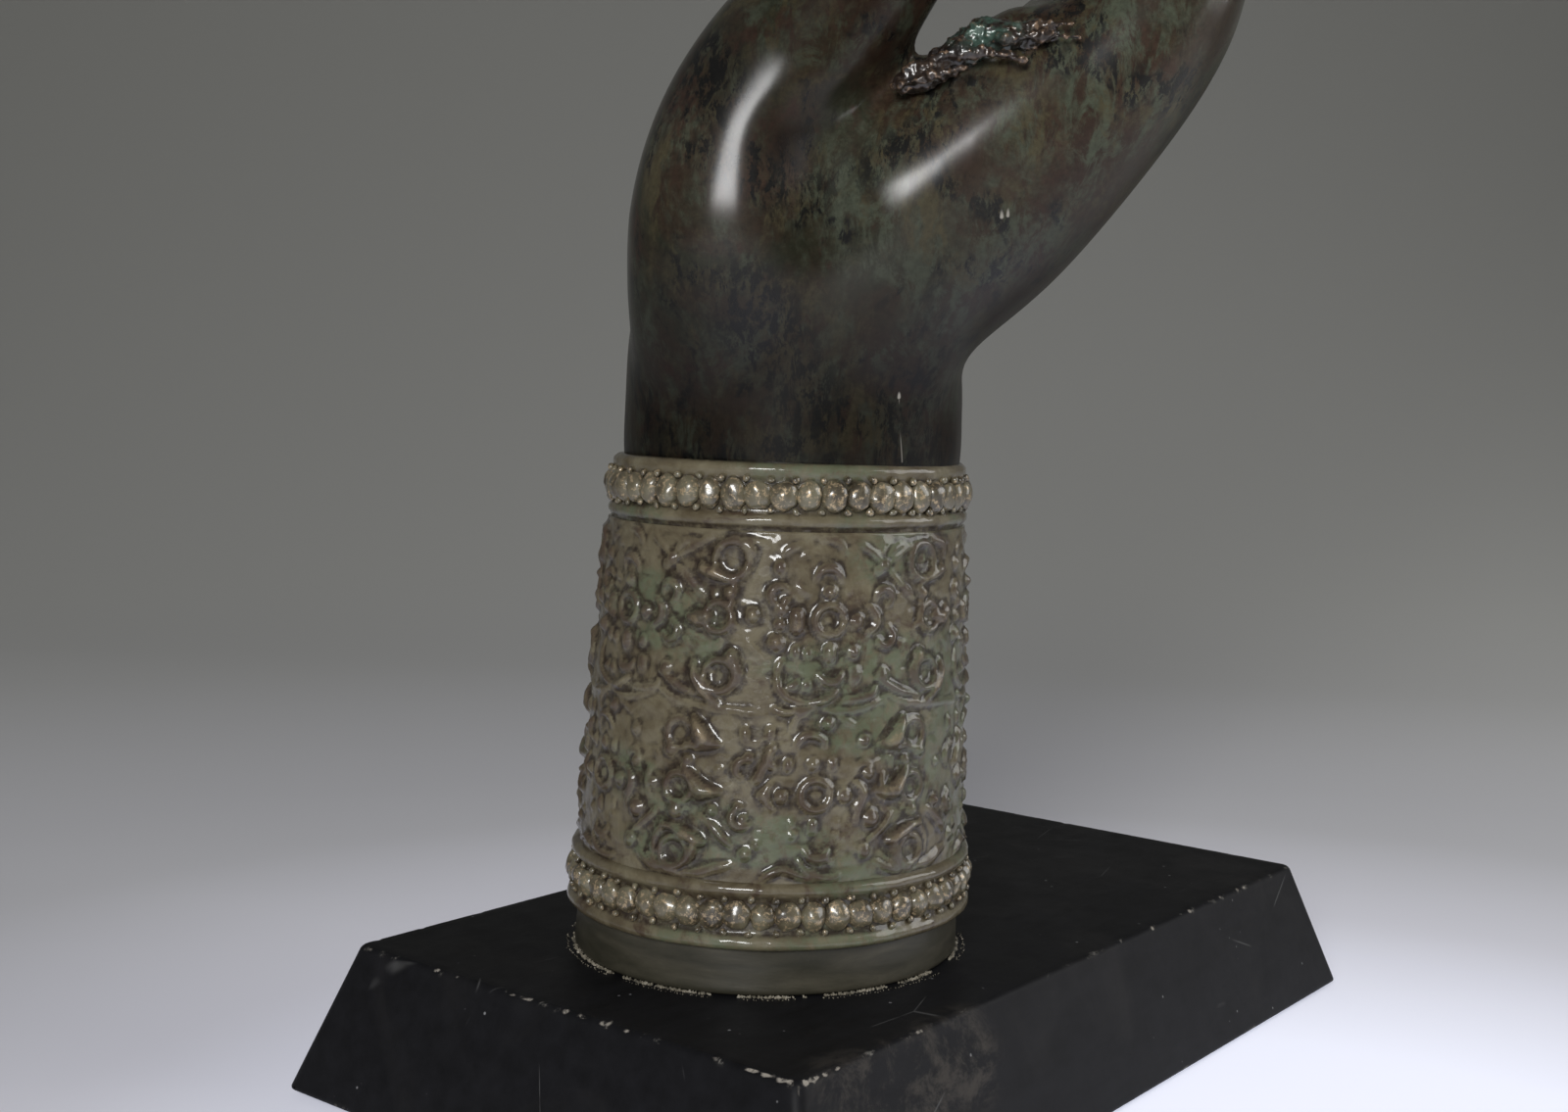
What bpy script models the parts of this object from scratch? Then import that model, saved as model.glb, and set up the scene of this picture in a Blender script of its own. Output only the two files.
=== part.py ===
"""A smooth bronze hand that rises from an ornate cuff, screwed to a painted wooden plinth.

The hand, the wrist, the cuff and its plain foot are one casting. The hand is lofted bone by bone, and the
cuff's relief is drawn on a flat sheet, one fifth of the way round, and wrapped round the sleeve five times.
"""

import math

import bmesh
import bpy
import numpy as np
from mathutils import Vector
from mathutils.geometry import delaunay_2d_cdt

MM = 0.001

# Driving dimensions, in millimetres. All heights are above the surface that the figurine stands on.
GAP = 0.3

FELT_THICKNESS = 1.2
FELT_INSET = 14.0
FELT_CORNER = 4.0

PLINTH_LENGTH = 175.0
PLINTH_WIDTH = 96.4
PLINTH_HEIGHT = 25.5
PLINTH_SLOPE = 8.45
PLINTH_EDGE = 0.8
PLINTH_CORNER = 2.2

SCREW_DIAMETER = 6.0
SCREW_GRIP = 12.0
SCREW_HEAD_DIAMETER = 12.0
SCREW_HEAD_HEIGHT = 3.6
SCREW_SLOT_WIDTH = 1.6
SCREW_SLOT_DEPTH = 1.4
WASHER_DIAMETER = 14.0
WASHER_THICKNESS = 1.2
COUNTERBORE_DEPTH = 9.0
COUNTERBORE_CLEARANCE = 1.0
HOLE_CLEARANCE = 0.4

# The casting stands left of the plinth's centre, and its hand is turned about the upright axis.
CASTING_X = -34.1
CASTING_Y = 0.0
HAND_TURN = -50.0
CUFF_LEAN = 1.4
CUFF_OVAL = 1.0

FOOT_RADIUS = 34.3
FOOT_HEIGHT = 7.2
LOWER_BAND_RADIUS = 34.8
FIELD_RADIUS_LOW = 34.4
FIELD_RADIUS_HIGH = 31.6
UPPER_BAND_RADIUS = 30.6
TOP_LIP_RADIUS = 31.2
LOWER_BAND_HEIGHT = 10.6
FIELD_HEIGHT = 56.1
UPPER_BAND_HEIGHT = 11.1
CUFF_SIDES_PER_FIFTH = 10
CUFF_TURN = -144.2
LIP_RISE = 0.8
BEAD_HEIGHT = 1.4
RELIEF = 0.9

HAND_LENGTH = 173.2
WRIST_INSET = 1.6
HAND_VOXEL = 1.6
HAND_TRIANGLES = 2800

FIFTHS = 5

PLINTH_BOTTOM = FELT_THICKNESS + GAP
PLINTH_TOP = PLINTH_BOTTOM + PLINTH_HEIGHT
FOOT_BOTTOM = PLINTH_TOP + GAP
CUFF_HEIGHT = FOOT_HEIGHT + LOWER_BAND_HEIGHT + FIELD_HEIGHT + UPPER_BAND_HEIGHT
CUFF_TOP = FOOT_BOTTOM + CUFF_HEIGHT
HAND_RIGHT = Vector((math.cos(math.radians(HAND_TURN)), math.sin(math.radians(HAND_TURN)), 0.0))
HAND_BACK = Vector((-HAND_RIGHT.y, HAND_RIGHT.x, 0.0))


for old in list(bpy.data.objects):
    bpy.data.objects.remove(old, do_unlink=True)


def material(name, colour, roughness, metallic):
    made = bpy.data.materials.new(name)
    made.use_nodes = True
    shader = made.node_tree.nodes["Principled BSDF"]
    shader.inputs["Base Color"].default_value = (*colour, 1.0)
    shader.inputs["Roughness"].default_value = roughness
    shader.inputs["Metallic"].default_value = metallic
    return made


def add_object(name, shape, finish, place=(0.0, 0.0, 0.0)):
    """Puts a bmesh that is drawn in millimetres into the scene, in metres."""
    bmesh.ops.scale(shape, vec=(MM, MM, MM), verts=shape.verts)
    mesh = bpy.data.meshes.new(name)
    shape.to_mesh(mesh)
    shape.free()
    made = bpy.data.objects.new(name, mesh)
    made.location = Vector(place) * MM
    if finish:
        mesh.materials.append(finish)
    bpy.context.collection.objects.link(made)
    return made


def add_guide(name, shape, place=(0.0, 0.0, 0.0)):
    """A form that only shapes another piece."""
    guide = add_object(name, shape, None, place)
    guide.hide_render = True
    guide.display_type = "WIRE"
    return guide


def combine(target, guide, operation):
    step = target.modifiers.new(guide.name, "BOOLEAN")
    step.operation = operation
    step.solver = "EXACT"
    step.object = guide


def turned(profile, sides):
    """A closed solid turned about the upright axis. The profile runs (radius, height) from axis to axis."""
    shape = bmesh.new()
    rings = []
    for radius, height in profile:
        if radius == 0.0:
            rings.append([shape.verts.new((0.0, 0.0, height))])
            continue
        ring = []
        for side in range(sides):
            angle = 2.0 * math.pi * side / sides
            ring.append(shape.verts.new((radius * math.cos(angle), radius * math.sin(angle), height)))
        rings.append(ring)
    for lower, upper in zip(rings, rings[1:]):
        for side in range(sides):
            after = (side + 1) % sides
            corners = [lower[side % len(lower)], lower[after % len(lower)]]
            corners += [upper[after % len(upper)], upper[side % len(upper)]]
            shape.faces.new(list(dict.fromkeys(corners)))
    bmesh.ops.recalc_face_normals(shape, faces=shape.faces)
    return shape


# The felt sheet under the plinth. It is inset from the plinth's lower edge and covers the screw.
felt = material("dark_felt", (0.03, 0.03, 0.032), 0.95, 0.0)
sheet_of_felt = bmesh.new()
bmesh.ops.create_cube(sheet_of_felt, size=1.0)
felt_length = PLINTH_LENGTH + 2 * (PLINTH_SLOPE - FELT_INSET)
felt_width = PLINTH_WIDTH + 2 * (PLINTH_SLOPE - FELT_INSET)
bmesh.ops.scale(sheet_of_felt, vec=(felt_length, felt_width, FELT_THICKNESS), verts=sheet_of_felt.verts)
corners = [edge for edge in sheet_of_felt.edges if edge.verts[0].co.z != edge.verts[1].co.z]
bmesh.ops.bevel(sheet_of_felt, geom=corners, offset=FELT_CORNER, segments=4, affect="EDGES", profile=0.5)
add_object("felt_sheet", sheet_of_felt, felt, (0.0, 0.0, FELT_THICKNESS / 2))


# The plinth: a block with sloping sides, its corners rounded and its edges eased, bored from beneath.
plinth_paint = material("black_paint", (0.012, 0.013, 0.017), 0.5, 0.0)
block = bmesh.new()
bmesh.ops.create_cube(block, size=1.0)
for corner in block.verts:
    spread = PLINTH_SLOPE if corner.co.z < 0 else 0.0
    corner.co.x = math.copysign(PLINTH_LENGTH / 2 + spread, corner.co.x)
    corner.co.y = math.copysign(PLINTH_WIDTH / 2 + spread, corner.co.y)
    corner.co.z = PLINTH_HEIGHT if corner.co.z > 0 else 0.0
uprights = [edge for edge in block.edges if edge.verts[0].co.z != edge.verts[1].co.z]
bmesh.ops.bevel(block, geom=uprights, offset=PLINTH_CORNER, segments=3, affect="EDGES", profile=0.5)
rims = [edge for edge in block.edges if edge.verts[0].co.z == edge.verts[1].co.z]
bmesh.ops.bevel(block, geom=rims, offset=PLINTH_EDGE, segments=2, affect="EDGES", profile=0.5)
plinth = add_object("plinth", block, plinth_paint, (0.0, 0.0, PLINTH_BOTTOM))

bore_radius = SCREW_DIAMETER / 2 + HOLE_CLEARANCE
seat_radius = WASHER_DIAMETER / 2 + COUNTERBORE_CLEARANCE
past = 5.0
bore_profile = [
    (0.0, -past),
    (seat_radius, -past),
    (seat_radius, COUNTERBORE_DEPTH),
    (bore_radius, COUNTERBORE_DEPTH),
    (bore_radius, PLINTH_HEIGHT + past),
    (0.0, PLINTH_HEIGHT + past),
]
plinth_bore = add_guide(
    "plinth_bore_cutter", turned(bore_profile, 32), (CASTING_X, CASTING_Y, PLINTH_BOTTOM)
)
combine(plinth, plinth_bore, "DIFFERENCE")


# The screw and its washer, up inside the counterbore.
steel = material("zinc_steel", (0.55, 0.55, 0.53), 0.35, 1.0)
washer_top = PLINTH_BOTTOM + COUNTERBORE_DEPTH - GAP
washer_bottom = washer_top - WASHER_THICKNESS
washer_hole = SCREW_DIAMETER / 2 + HOLE_CLEARANCE
washer_profile = [
    (0.0, 0.0),
    (WASHER_DIAMETER / 2, 0.0),
    (WASHER_DIAMETER / 2, WASHER_THICKNESS),
    (0.0, WASHER_THICKNESS),
]
washer_shape = turned(washer_profile, 32)
washer = add_object("screw_washer", washer_shape, steel, (CASTING_X, CASTING_Y, washer_bottom))
washer_cutter = add_guide(
    "washer_hole_cutter",
    turned([(0.0, -past), (washer_hole, -past), (washer_hole, past), (0.0, past)], 32),
    (CASTING_X, CASTING_Y, washer_bottom),
)
combine(washer, washer_cutter, "DIFFERENCE")

head_top = washer_bottom - GAP
shank_length = FOOT_BOTTOM + SCREW_GRIP - head_top
dome = [
    (SCREW_HEAD_DIAMETER / 2 * math.cos(math.radians(a)), -SCREW_HEAD_HEIGHT * math.sin(math.radians(a)))
    for a in (90, 65, 40, 15, 0)
]
screw_profile = [(0.0, -SCREW_HEAD_HEIGHT)] + dome[1:] + [
    (SCREW_DIAMETER / 2, 0.0),
    (SCREW_DIAMETER / 2, shank_length - 1.0),
    (SCREW_DIAMETER / 2 - 1.0, shank_length),
    (0.0, shank_length),
]
screw = add_object("fixing_screw", turned(screw_profile, 24), steel, (CASTING_X, CASTING_Y, head_top))
slot = bmesh.new()
bmesh.ops.create_cube(slot, size=1.0)
bmesh.ops.scale(slot, vec=(SCREW_HEAD_DIAMETER * 2, SCREW_SLOT_WIDTH, SCREW_SLOT_DEPTH * 2), verts=slot.verts)
slot_cutter = add_guide("slot_cutter", slot, (CASTING_X, CASTING_Y, head_top - SCREW_HEAD_HEIGHT))
combine(screw, slot_cutter, "DIFFERENCE")


# The cuff's side, from the foot up: (height above the foot's bottom, radius).
field_bottom = FOOT_HEIGHT + LOWER_BAND_HEIGHT
field_top = field_bottom + FIELD_HEIGHT
bead_row_low = FOOT_HEIGHT + 0.50 * LOWER_BAND_HEIGHT
bead_row_high = field_top + 0.70 * UPPER_BAND_HEIGHT
cuff_side = [
    (0.0, FOOT_RADIUS),
    (FOOT_HEIGHT, FOOT_RADIUS - 0.4),
    (FOOT_HEIGHT + 0.2, LOWER_BAND_RADIUS + 0.7),
    (FOOT_HEIGHT + 1.2, LOWER_BAND_RADIUS + 1.2),
    (FOOT_HEIGHT + 0.26 * LOWER_BAND_HEIGHT, LOWER_BAND_RADIUS),
    (FOOT_HEIGHT + 0.76 * LOWER_BAND_HEIGHT, LOWER_BAND_RADIUS - 0.3),
    (FOOT_HEIGHT + 0.88 * LOWER_BAND_HEIGHT, LOWER_BAND_RADIUS + 0.8),
    (field_bottom, FIELD_RADIUS_LOW),
    (field_top, FIELD_RADIUS_HIGH),
    (field_top + 0.10 * UPPER_BAND_HEIGHT, FIELD_RADIUS_HIGH - 0.6),
    (field_top + 0.25 * UPPER_BAND_HEIGHT, FIELD_RADIUS_HIGH + 0.1),
    (field_top + 0.45 * UPPER_BAND_HEIGHT, UPPER_BAND_RADIUS),
    (field_top + 0.93 * UPPER_BAND_HEIGHT, UPPER_BAND_RADIUS),
    (CUFF_HEIGHT, TOP_LIP_RADIUS),
    (CUFF_HEIGHT + LIP_RISE, TOP_LIP_RADIUS - 0.5),
    (CUFF_HEIGHT + LIP_RISE, TOP_LIP_RADIUS - 4.0),
]
side_heights = np.array([row[0] for row in cuff_side])
side_radii = np.array([row[1] for row in cuff_side])
steps = np.hypot(np.diff(side_heights), np.diff(side_radii))
side_runs = np.concatenate([[0.0], np.cumsum(steps)])
sheet_radius = (FIELD_RADIUS_LOW + FIELD_RADIUS_HIGH) / 2
sheet_width = 2.0 * math.pi * sheet_radius / FIFTHS


def run_at(height):
    """How far up the sheet a height on the cuff lies."""
    return float(np.interp(height, side_heights, side_runs))


class Sheet:
    """The relief of one fifth of the cuff, drawn flat: outlines with the height that each one stands proud."""

    def __init__(self):
        self.points = []
        self.proud = []
        self.edges = []

    def line(self, points, proud, closed=True):
        first = len(self.points)
        self.points += points
        self.proud += [proud] * len(points)
        last = len(self.points) - 1
        self.edges += [(n, n + 1) for n in range(first, last)]
        if closed and len(points) > 2:
            self.edges.append((last, first))

    def round(self, x, y, radius, proud, corners, turn=0.0, stretch=1.0):
        ring = []
        for n in range(corners):
            angle = turn + 2.0 * math.pi * n / corners
            ring.append((x + radius * math.cos(angle), y + radius * stretch * math.sin(angle)))
        self.line(ring, proud)

    def point(self, x, y, proud):
        self.line([(x, y)], proud, closed=False)

    def bead(self, x, y, radius, proud, corners=3, stretch=1.0):
        self.round(x, y, radius, 0.0, 2 * corners, math.pi / (2 * corners), stretch)
        self.round(x, y, radius * 0.55, proud, corners, math.pi / corners, stretch)

    def stud(self, x, y, radius, proud):
        self.round(x, y, radius, 0.0, 4)
        self.point(x, y, proud)

    def ring(self, x, y, radius, proud, corners):
        self.round(x, y, radius, 0.0, corners)
        self.round(x, y, radius * 0.72, proud, corners)
        self.point(x, y, proud * 0.25)

    def leaf(self, spine, width, proud):
        """A curved leaf: a raised spine between two edges that meet at its ends."""
        left, right = [], []
        for n in range(1, len(spine) - 1):
            along = Vector(spine[n + 1]) - Vector(spine[n - 1])
            across = Vector((-along.y, along.x)).normalized() * width / 2
            left.append(tuple(Vector(spine[n]) + across))
            right.append(tuple(Vector(spine[n]) - across))
        self.line([spine[0]] + right + [spine[-1]] + left[::-1], 0.0)
        self.line(list(spine[1:-1]), proud, closed=False)


sheet = Sheet()
row_points = np.linspace(-sheet_width / 2, sheet_width / 2, CUFF_SIDES_PER_FIFTH + 1)
for run in side_runs:
    sheet.line([(float(x), float(run)) for x in row_points], 0.0, closed=False)
run_low, run_high = run_at(field_bottom), run_at(field_top)
for edge_x in (-sheet_width / 2, sheet_width / 2):
    for share in (0.2, 0.4, 0.6, 0.8):
        sheet.point(edge_x, run_low + share * (run_high - run_low), 0.0)

# The two rows of large beads.
bead_pitch = sheet_width / CUFF_SIDES_PER_FIFTH
low_room = 0.25 * LOWER_BAND_HEIGHT
high_room = 0.24 * UPPER_BAND_HEIGHT
for x in (row_points[:-1] + row_points[1:]) / 2:
    radius = 0.46 * bead_pitch
    sheet.bead(float(x), run_at(bead_row_low), radius, BEAD_HEIGHT, 4, 0.92 * low_room / radius)
    sheet.bead(float(x), run_at(bead_row_high), radius, BEAD_HEIGHT, 4, 0.80 * high_room / radius)

# The field: two tiers, each with one medallion and one column of three rings in a fifth of the way round.
tier_rise = (run_high - run_low) / 2
scale = min(tier_rise / 28.0, sheet_width / 41.5)
medallion_x = sheet_width / 4
column_x = -sheet_width / 4
for tier, mirror in ((0, 1.0), (1, -1.0)):
    middle = run_low + tier_rise * (tier + 0.5)
    at = medallion_x
    sheet.ring(at, middle, 2.5 * scale, RELIEF, 8)
    for dx, dy in ((0.0, 4.7), (0.0, -4.7), (4.7, 0.0), (-4.7, 0.0)):
        sheet.bead(at + dx * scale, middle + dy * scale, 1.15 * scale, 0.85 * RELIEF)
    for side in (-1.0, 1.0):
        upright = [(7.0, -2.2), (7.8, -1.0), (7.8, 1.0), (7.0, 2.2)]
        sheet.leaf([(at + side * px * scale, middle + py * scale) for px, py in upright], 1.3 * scale, RELIEF)
        flat = [(-2.4, 6.9), (-1.1, 8.2), (1.1, 8.2), (2.4, 6.9)]
        sheet.leaf([(at + px * scale, middle + side * py * scale) for px, py in flat], 1.5 * scale, RELIEF)
        for lift in (-1.0, 1.0):
            sheet.ring(at + side * 6.6 * scale, middle + lift * 5.8 * scale, 1.7 * scale, 0.8 * RELIEF, 6)
            sheet.stud(at + side * 2.9 * scale, middle + lift * 4.3 * scale, 0.65 * scale, 0.6 * RELIEF)
    crest = [(-6.5, 11.6), (-3.6, 10.6), (0.0, 12.4), (3.6, 10.6), (6.5, 11.6)]
    sheet.leaf([(at + px * scale, middle + py * scale) for px, py in crest], 1.4 * scale, 0.8 * RELIEF)
    for rise in (-9.2, 0.0, 9.2):
        ring_x = column_x - mirror * 1.6 * scale
        ring_y = middle + rise * scale
        sheet.ring(ring_x, ring_y, 2.4 * scale, RELIEF, 8)
        tail = [(2.9, 3.0), (4.4, 1.6), (5.6, -0.9), (6.6, -3.6)]
        spine = [(ring_x + mirror * px * scale, ring_y + py * scale) for px, py in tail]
        sheet.leaf(spine, 1.9 * scale, RELIEF)
        if rise < 9.0:
            sheet.stud(ring_x - mirror * 2.4 * scale, ring_y + 4.6 * scale, 0.7 * scale, 0.6 * RELIEF)


def sheet_triangles():
    """The sheet's points with how proud each is, and its triangles."""
    points, _, faces, origins, _, _ = delaunay_2d_cdt(
        [Vector(point) for point in sheet.points], sheet.edges, [], 0, 1e-4, True
    )
    proud = [max((sheet.proud[n] for n in origin), default=0.0) for origin in origins]
    return points, proud, faces


def cuff_solid():
    """The sheet wrapped round the sleeve five times and closed at its top and bottom."""
    points, proud, faces = sheet_triangles()
    shape = bmesh.new()
    for fifth in range(FIFTHS):
        start = math.radians(CUFF_TURN) + 2.0 * math.pi * fifth / FIFTHS
        placed = []
        for (x, run), rise in zip(points, proud):
            angle = start + x / sheet_radius
            height = float(np.interp(run, side_runs, side_heights))
            radius = float(np.interp(run, side_runs, side_radii)) + rise
            lean = HAND_RIGHT * CUFF_LEAN * height / CUFF_HEIGHT
            oval_x = (radius + CUFF_OVAL) * math.cos(angle)
            oval_y = (radius - CUFF_OVAL) * math.sin(angle)
            placed.append(shape.verts.new((oval_x + lean.x, oval_y + lean.y, height)))
        for face in faces:
            shape.faces.new([placed[n] for n in face])
    bmesh.ops.remove_doubles(shape, verts=shape.verts, dist=1e-3)
    bmesh.ops.holes_fill(shape, edges=[edge for edge in shape.edges if edge.is_boundary], sides=0)
    bmesh.ops.recalc_face_normals(shape, faces=shape.faces)
    return shape


cuff = add_guide("cuff_form", cuff_solid(), (CASTING_X, CASTING_Y, FOOT_BOTTOM))


# The hand, in its own directions: right is towards the back of the hand, back is towards the little
# finger, and up. Each station is (right, back, up, half depth, half width, squareness) of a section across
# the form, drawn for a hand of this length, which HAND_LENGTH then scales. The wrist keeps to its cuff.
DRAWN_LENGTH = 173.2
hand_scale = HAND_LENGTH / DRAWN_LENGTH
wrist_radius = (TOP_LIP_RADIUS - WRIST_INSET) / hand_scale


def smooth_stations(stations, per_span):
    """Catmull-Rom through the stations, so that a form swells and bends without corners."""
    rows = [np.array(station, dtype=float) for station in stations]
    rows = [2 * rows[0] - rows[1]] + rows + [2 * rows[-1] - rows[-2]]
    made = []
    for n in range(1, len(rows) - 2):
        a, b, c, d = rows[n - 1 : n + 3]
        for step in range(per_span):
            t = step / per_span
            curve = 2 * b + (c - a) * t + (2 * a - 5 * b + 4 * c - d) * t**2 + (3 * b - a - 3 * c + d) * t**3
            made.append(curve / 2)
    made.append(rows[-2])
    return made


def loft(shape, stations, sides=24, per_span=4, round_end=1.0):
    """A closed form through the stations, with a dome on each end."""
    rows = smooth_stations(stations, per_span)
    centres = [Vector(row[:3]) for row in rows]
    sections = []
    for n, row in enumerate(rows):
        along = (centres[min(n + 1, len(rows) - 1)] - centres[max(n - 1, 0)]).normalized()
        sections.append((centres[n], along, row[3], row[4], row[5]))
    rings = []
    for place, way in ((0, -1.0), (-1, 1.0)):
        centre, along, depth, width, square = sections[place]
        reach = round_end * min(depth, width)
        dome = []
        for degrees in (30, 55, 75):
            out = math.sin(math.radians(degrees)) * reach * way
            shrink = math.cos(math.radians(degrees))
            dome.append((centre + along * out, along, depth * shrink, width * shrink, square))
        sections = dome[::-1] + sections if way < 0 else sections + dome
    for centre, along, depth, width, square in sections:
        side = Vector((0.0, 1.0, 0.0))
        side = (side - along * side.dot(along)).normalized()
        face = side.cross(along)
        ring = []
        for k in range(sides):
            angle = 2.0 * math.pi * k / sides
            c, s = math.cos(angle), math.sin(angle)
            c = math.copysign(abs(c) ** (2.0 / square), c)
            s = math.copysign(abs(s) ** (2.0 / square), s)
            local = centre + face * depth * c + side * width * s
            placed = HAND_RIGHT * local.x + HAND_BACK * local.y + Vector((0.0, 0.0, local.z))
            ring.append(shape.verts.new(placed * hand_scale))
        rings.append(ring)
    for lower, upper in zip(rings, rings[1:]):
        for k in range(sides):
            after = (k + 1) % sides
            shape.faces.new((lower[k], lower[after], upper[after], upper[k]))
    shape.faces.new(rings[0][::-1])
    shape.faces.new(rings[-1])


def finger(shape, root, knuckle, bones, leans, spread, radii):
    """Metacarpal head, three bones and a rounded tip. Leans are from upright, towards the back of the hand."""
    stations = [(*root, radii[0] * 0.92, radii[0], 2.1), (*knuckle, radii[0], radii[0] * 0.96, 2.1)]
    at = Vector(knuckle)
    drift = math.radians(spread)
    for bone, lean, after in zip(bones, leans, radii[1:]):
        tilt = math.radians(lean)
        way = Vector((math.sin(tilt) * math.cos(drift), math.sin(drift), math.cos(tilt) * math.cos(drift)))
        at = at + way * bone
        stations.append((*at, after, after * 0.97, 2.1))
    loft(shape, stations, sides=16, per_span=5)


hand = bmesh.new()
wrist_and_palm = [
    (1.5, 0.0, -14.0, wrist_radius - 2.1, wrist_radius - 1.6, 2.0),
    (1.6, 0.0, 2.0, wrist_radius, wrist_radius, 2.0),
    (1.6, 0.0, 12.0, wrist_radius - 0.2, wrist_radius + 0.4, 2.05),
    (3.0, -0.3, 22.0, 29.4, 31.2, 2.2),
    (13.2, 0.0, 35.5, 24.6, 34.5, 2.4),
    (31.6, 2.0, 48.5, 21.0, 37.0, 2.5),
    (49.3, 3.0, 66.0, 17.5, 39.0, 2.5),
    (59.5, 4.0, 79.0, 15.0, 39.0, 2.4),
    (64.5, 4.0, 87.0, 12.0, 38.0, 2.3),
]
loft(hand, wrist_and_palm, sides=32, round_end=0.5)
thumb = [
    (-2.0, -2.0, 2.0, 18.0, 16.0, 2.0),
    (-8.0, -11.0, 20.0, 18.5, 18.5, 2.0),
    (-9.6, -19.2, 36.0, 18.0, 18.2, 2.1),
    (-8.4, -20.8, 50.0, 16.2, 16.8, 2.1),
    (-2.1, -22.3, 63.0, 15.2, 15.0, 2.1),
    (7.2, -24.3, 76.0, 12.9, 13.0, 2.1),
    (16.5, -25.5, 89.0, 11.0, 11.6, 2.1),
    (25.0, -26.0, 102.0, 9.8, 10.6, 2.1),
    (31.0, -26.0, 114.0, 8.0, 9.0, 2.1),
]
loft(hand, thumb, sides=24)
between_thumb_and_palm = [
    (1.0, -9.0, 18.0, 19.0, 17.0, 2.0),
    (6.0, -15.0, 33.0, 19.0, 16.5, 2.0),
    (15.0, -20.0, 42.5, 17.0, 15.8, 2.0),
    (26.0, -22.5, 51.0, 14.5, 14.2, 2.0),
    (38.0, -23.5, 60.0, 12.5, 13.0, 2.0),
    (49.0, -22.0, 71.5, 9.5, 11.0, 2.0),
]
loft(hand, between_thumb_and_palm, sides=20)
heel = [
    (-8.0, 13.0, 22.0, 12.0, 13.0, 2.0),
    (1.0, 21.0, 36.0, 13.5, 13.0, 2.0),
    (13.0, 25.0, 51.0, 9.5, 11.0, 2.0),
    (26.0, 25.0, 64.0, 5.0, 8.0, 2.0),
]
loft(hand, heel, sides=16)
web = [
    (-1.0, -16.5, 36.0, 13.0, 12.2, 2.0),
    (6.0, -18.6, 44.0, 13.0, 12.0, 2.0),
    (14.5, -20.7, 52.5, 11.0, 10.8, 2.0),
    (24.0, -24.0, 62.0, 6.3, 8.5, 2.0),
    (35.0, -24.0, 70.0, 5.5, 8.0, 2.0),
]
loft(hand, web, sides=16)
# A rough lump left by the casting, along the web between thumb and forefinger.
casting_lump = [
    (15.0, -32.0, 59.5, 2.5, 3.0, 2.0),
    (20.0, -31.5, 62.0, 3.4, 4.2, 2.0),
    (27.0, -31.0, 67.0, 4.6, 4.8, 2.0),
    (33.0, -31.5, 69.2, 4.0, 4.4, 2.0),
    (40.0, -33.0, 68.5, 2.4, 3.0, 2.0),
]
loft(hand, casting_lump, sides=12)
# The forefinger bends to the thumb and the other three stand up side by side, a little relaxed.
finger(hand, (41, -21, 57), (56.5, -23, 78), (37, 25, 19), (18, -42, -106), -1, (12.4, 9.8, 8.4, 6.6))
finger(hand, (49, -4, 61), (63.5, -5, 84), (41, 27, 18), (14, 4, -4), 0.5, (12.0, 9.2, 8.0, 6.3))
finger(hand, (48, 12, 59), (62.5, 13.2, 81), (38, 25, 17), (12, 3, -5), -0.5, (11.4, 9.0, 7.8, 6.1))
finger(hand, (45, 27, 54), (58.5, 29.6, 75), (31, 20, 15), (11, 3, -6), -2.5, (10.4, 8.2, 7.2, 5.6))

bronze = material("patinated_bronze", (0.085, 0.07, 0.062), 0.35, 0.6)
casting = add_object("hand_casting", hand, bronze, (CASTING_X, CASTING_Y, CUFF_TOP))
remesh = casting.modifiers.new("one_skin", "REMESH")
remesh.mode = "VOXEL"
remesh.voxel_size = HAND_VOXEL * MM
relax = casting.modifiers.new("softened_creases", "SMOOTH")
relax.factor = 0.5
relax.iterations = 20


def evaluated_faces(target):
    bpy.context.view_layer.update()
    settled = target.evaluated_get(bpy.context.evaluated_depsgraph_get())
    shape = settled.to_mesh()
    shape.calc_loop_triangles()
    count = len(shape.loop_triangles)
    settled.to_mesh_clear()
    return count


thin = casting.modifiers.new("fewer_faces", "DECIMATE")
thin.show_viewport = False
thin.ratio = HAND_TRIANGLES / evaluated_faces(casting)
thin.show_viewport = True
combine(casting, cuff, "UNION")

tap_radius = SCREW_DIAMETER / 2 + GAP
tap_depth = SCREW_GRIP + 1.5
tap = add_guide(
    "tapped_hole_cutter",
    turned([(0.0, -past), (tap_radius, -past), (tap_radius, tap_depth), (0.0, tap_depth + 1.5)], 24),
    (CASTING_X, CASTING_Y, FOOT_BOTTOM),
)
combine(casting, tap, "DIFFERENCE")
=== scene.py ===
"""A bronze hand with a ring of thumb and forefinger, on an ornate cuff and a black wooden plinth.

Lengths in each section are millimetres, and MM turns them into the frame's metres.
"""

import math

import bmesh
import bpy
import numpy as np
from mathutils import Matrix, Vector
from mathutils.bvhtree import BVHTree


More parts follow.
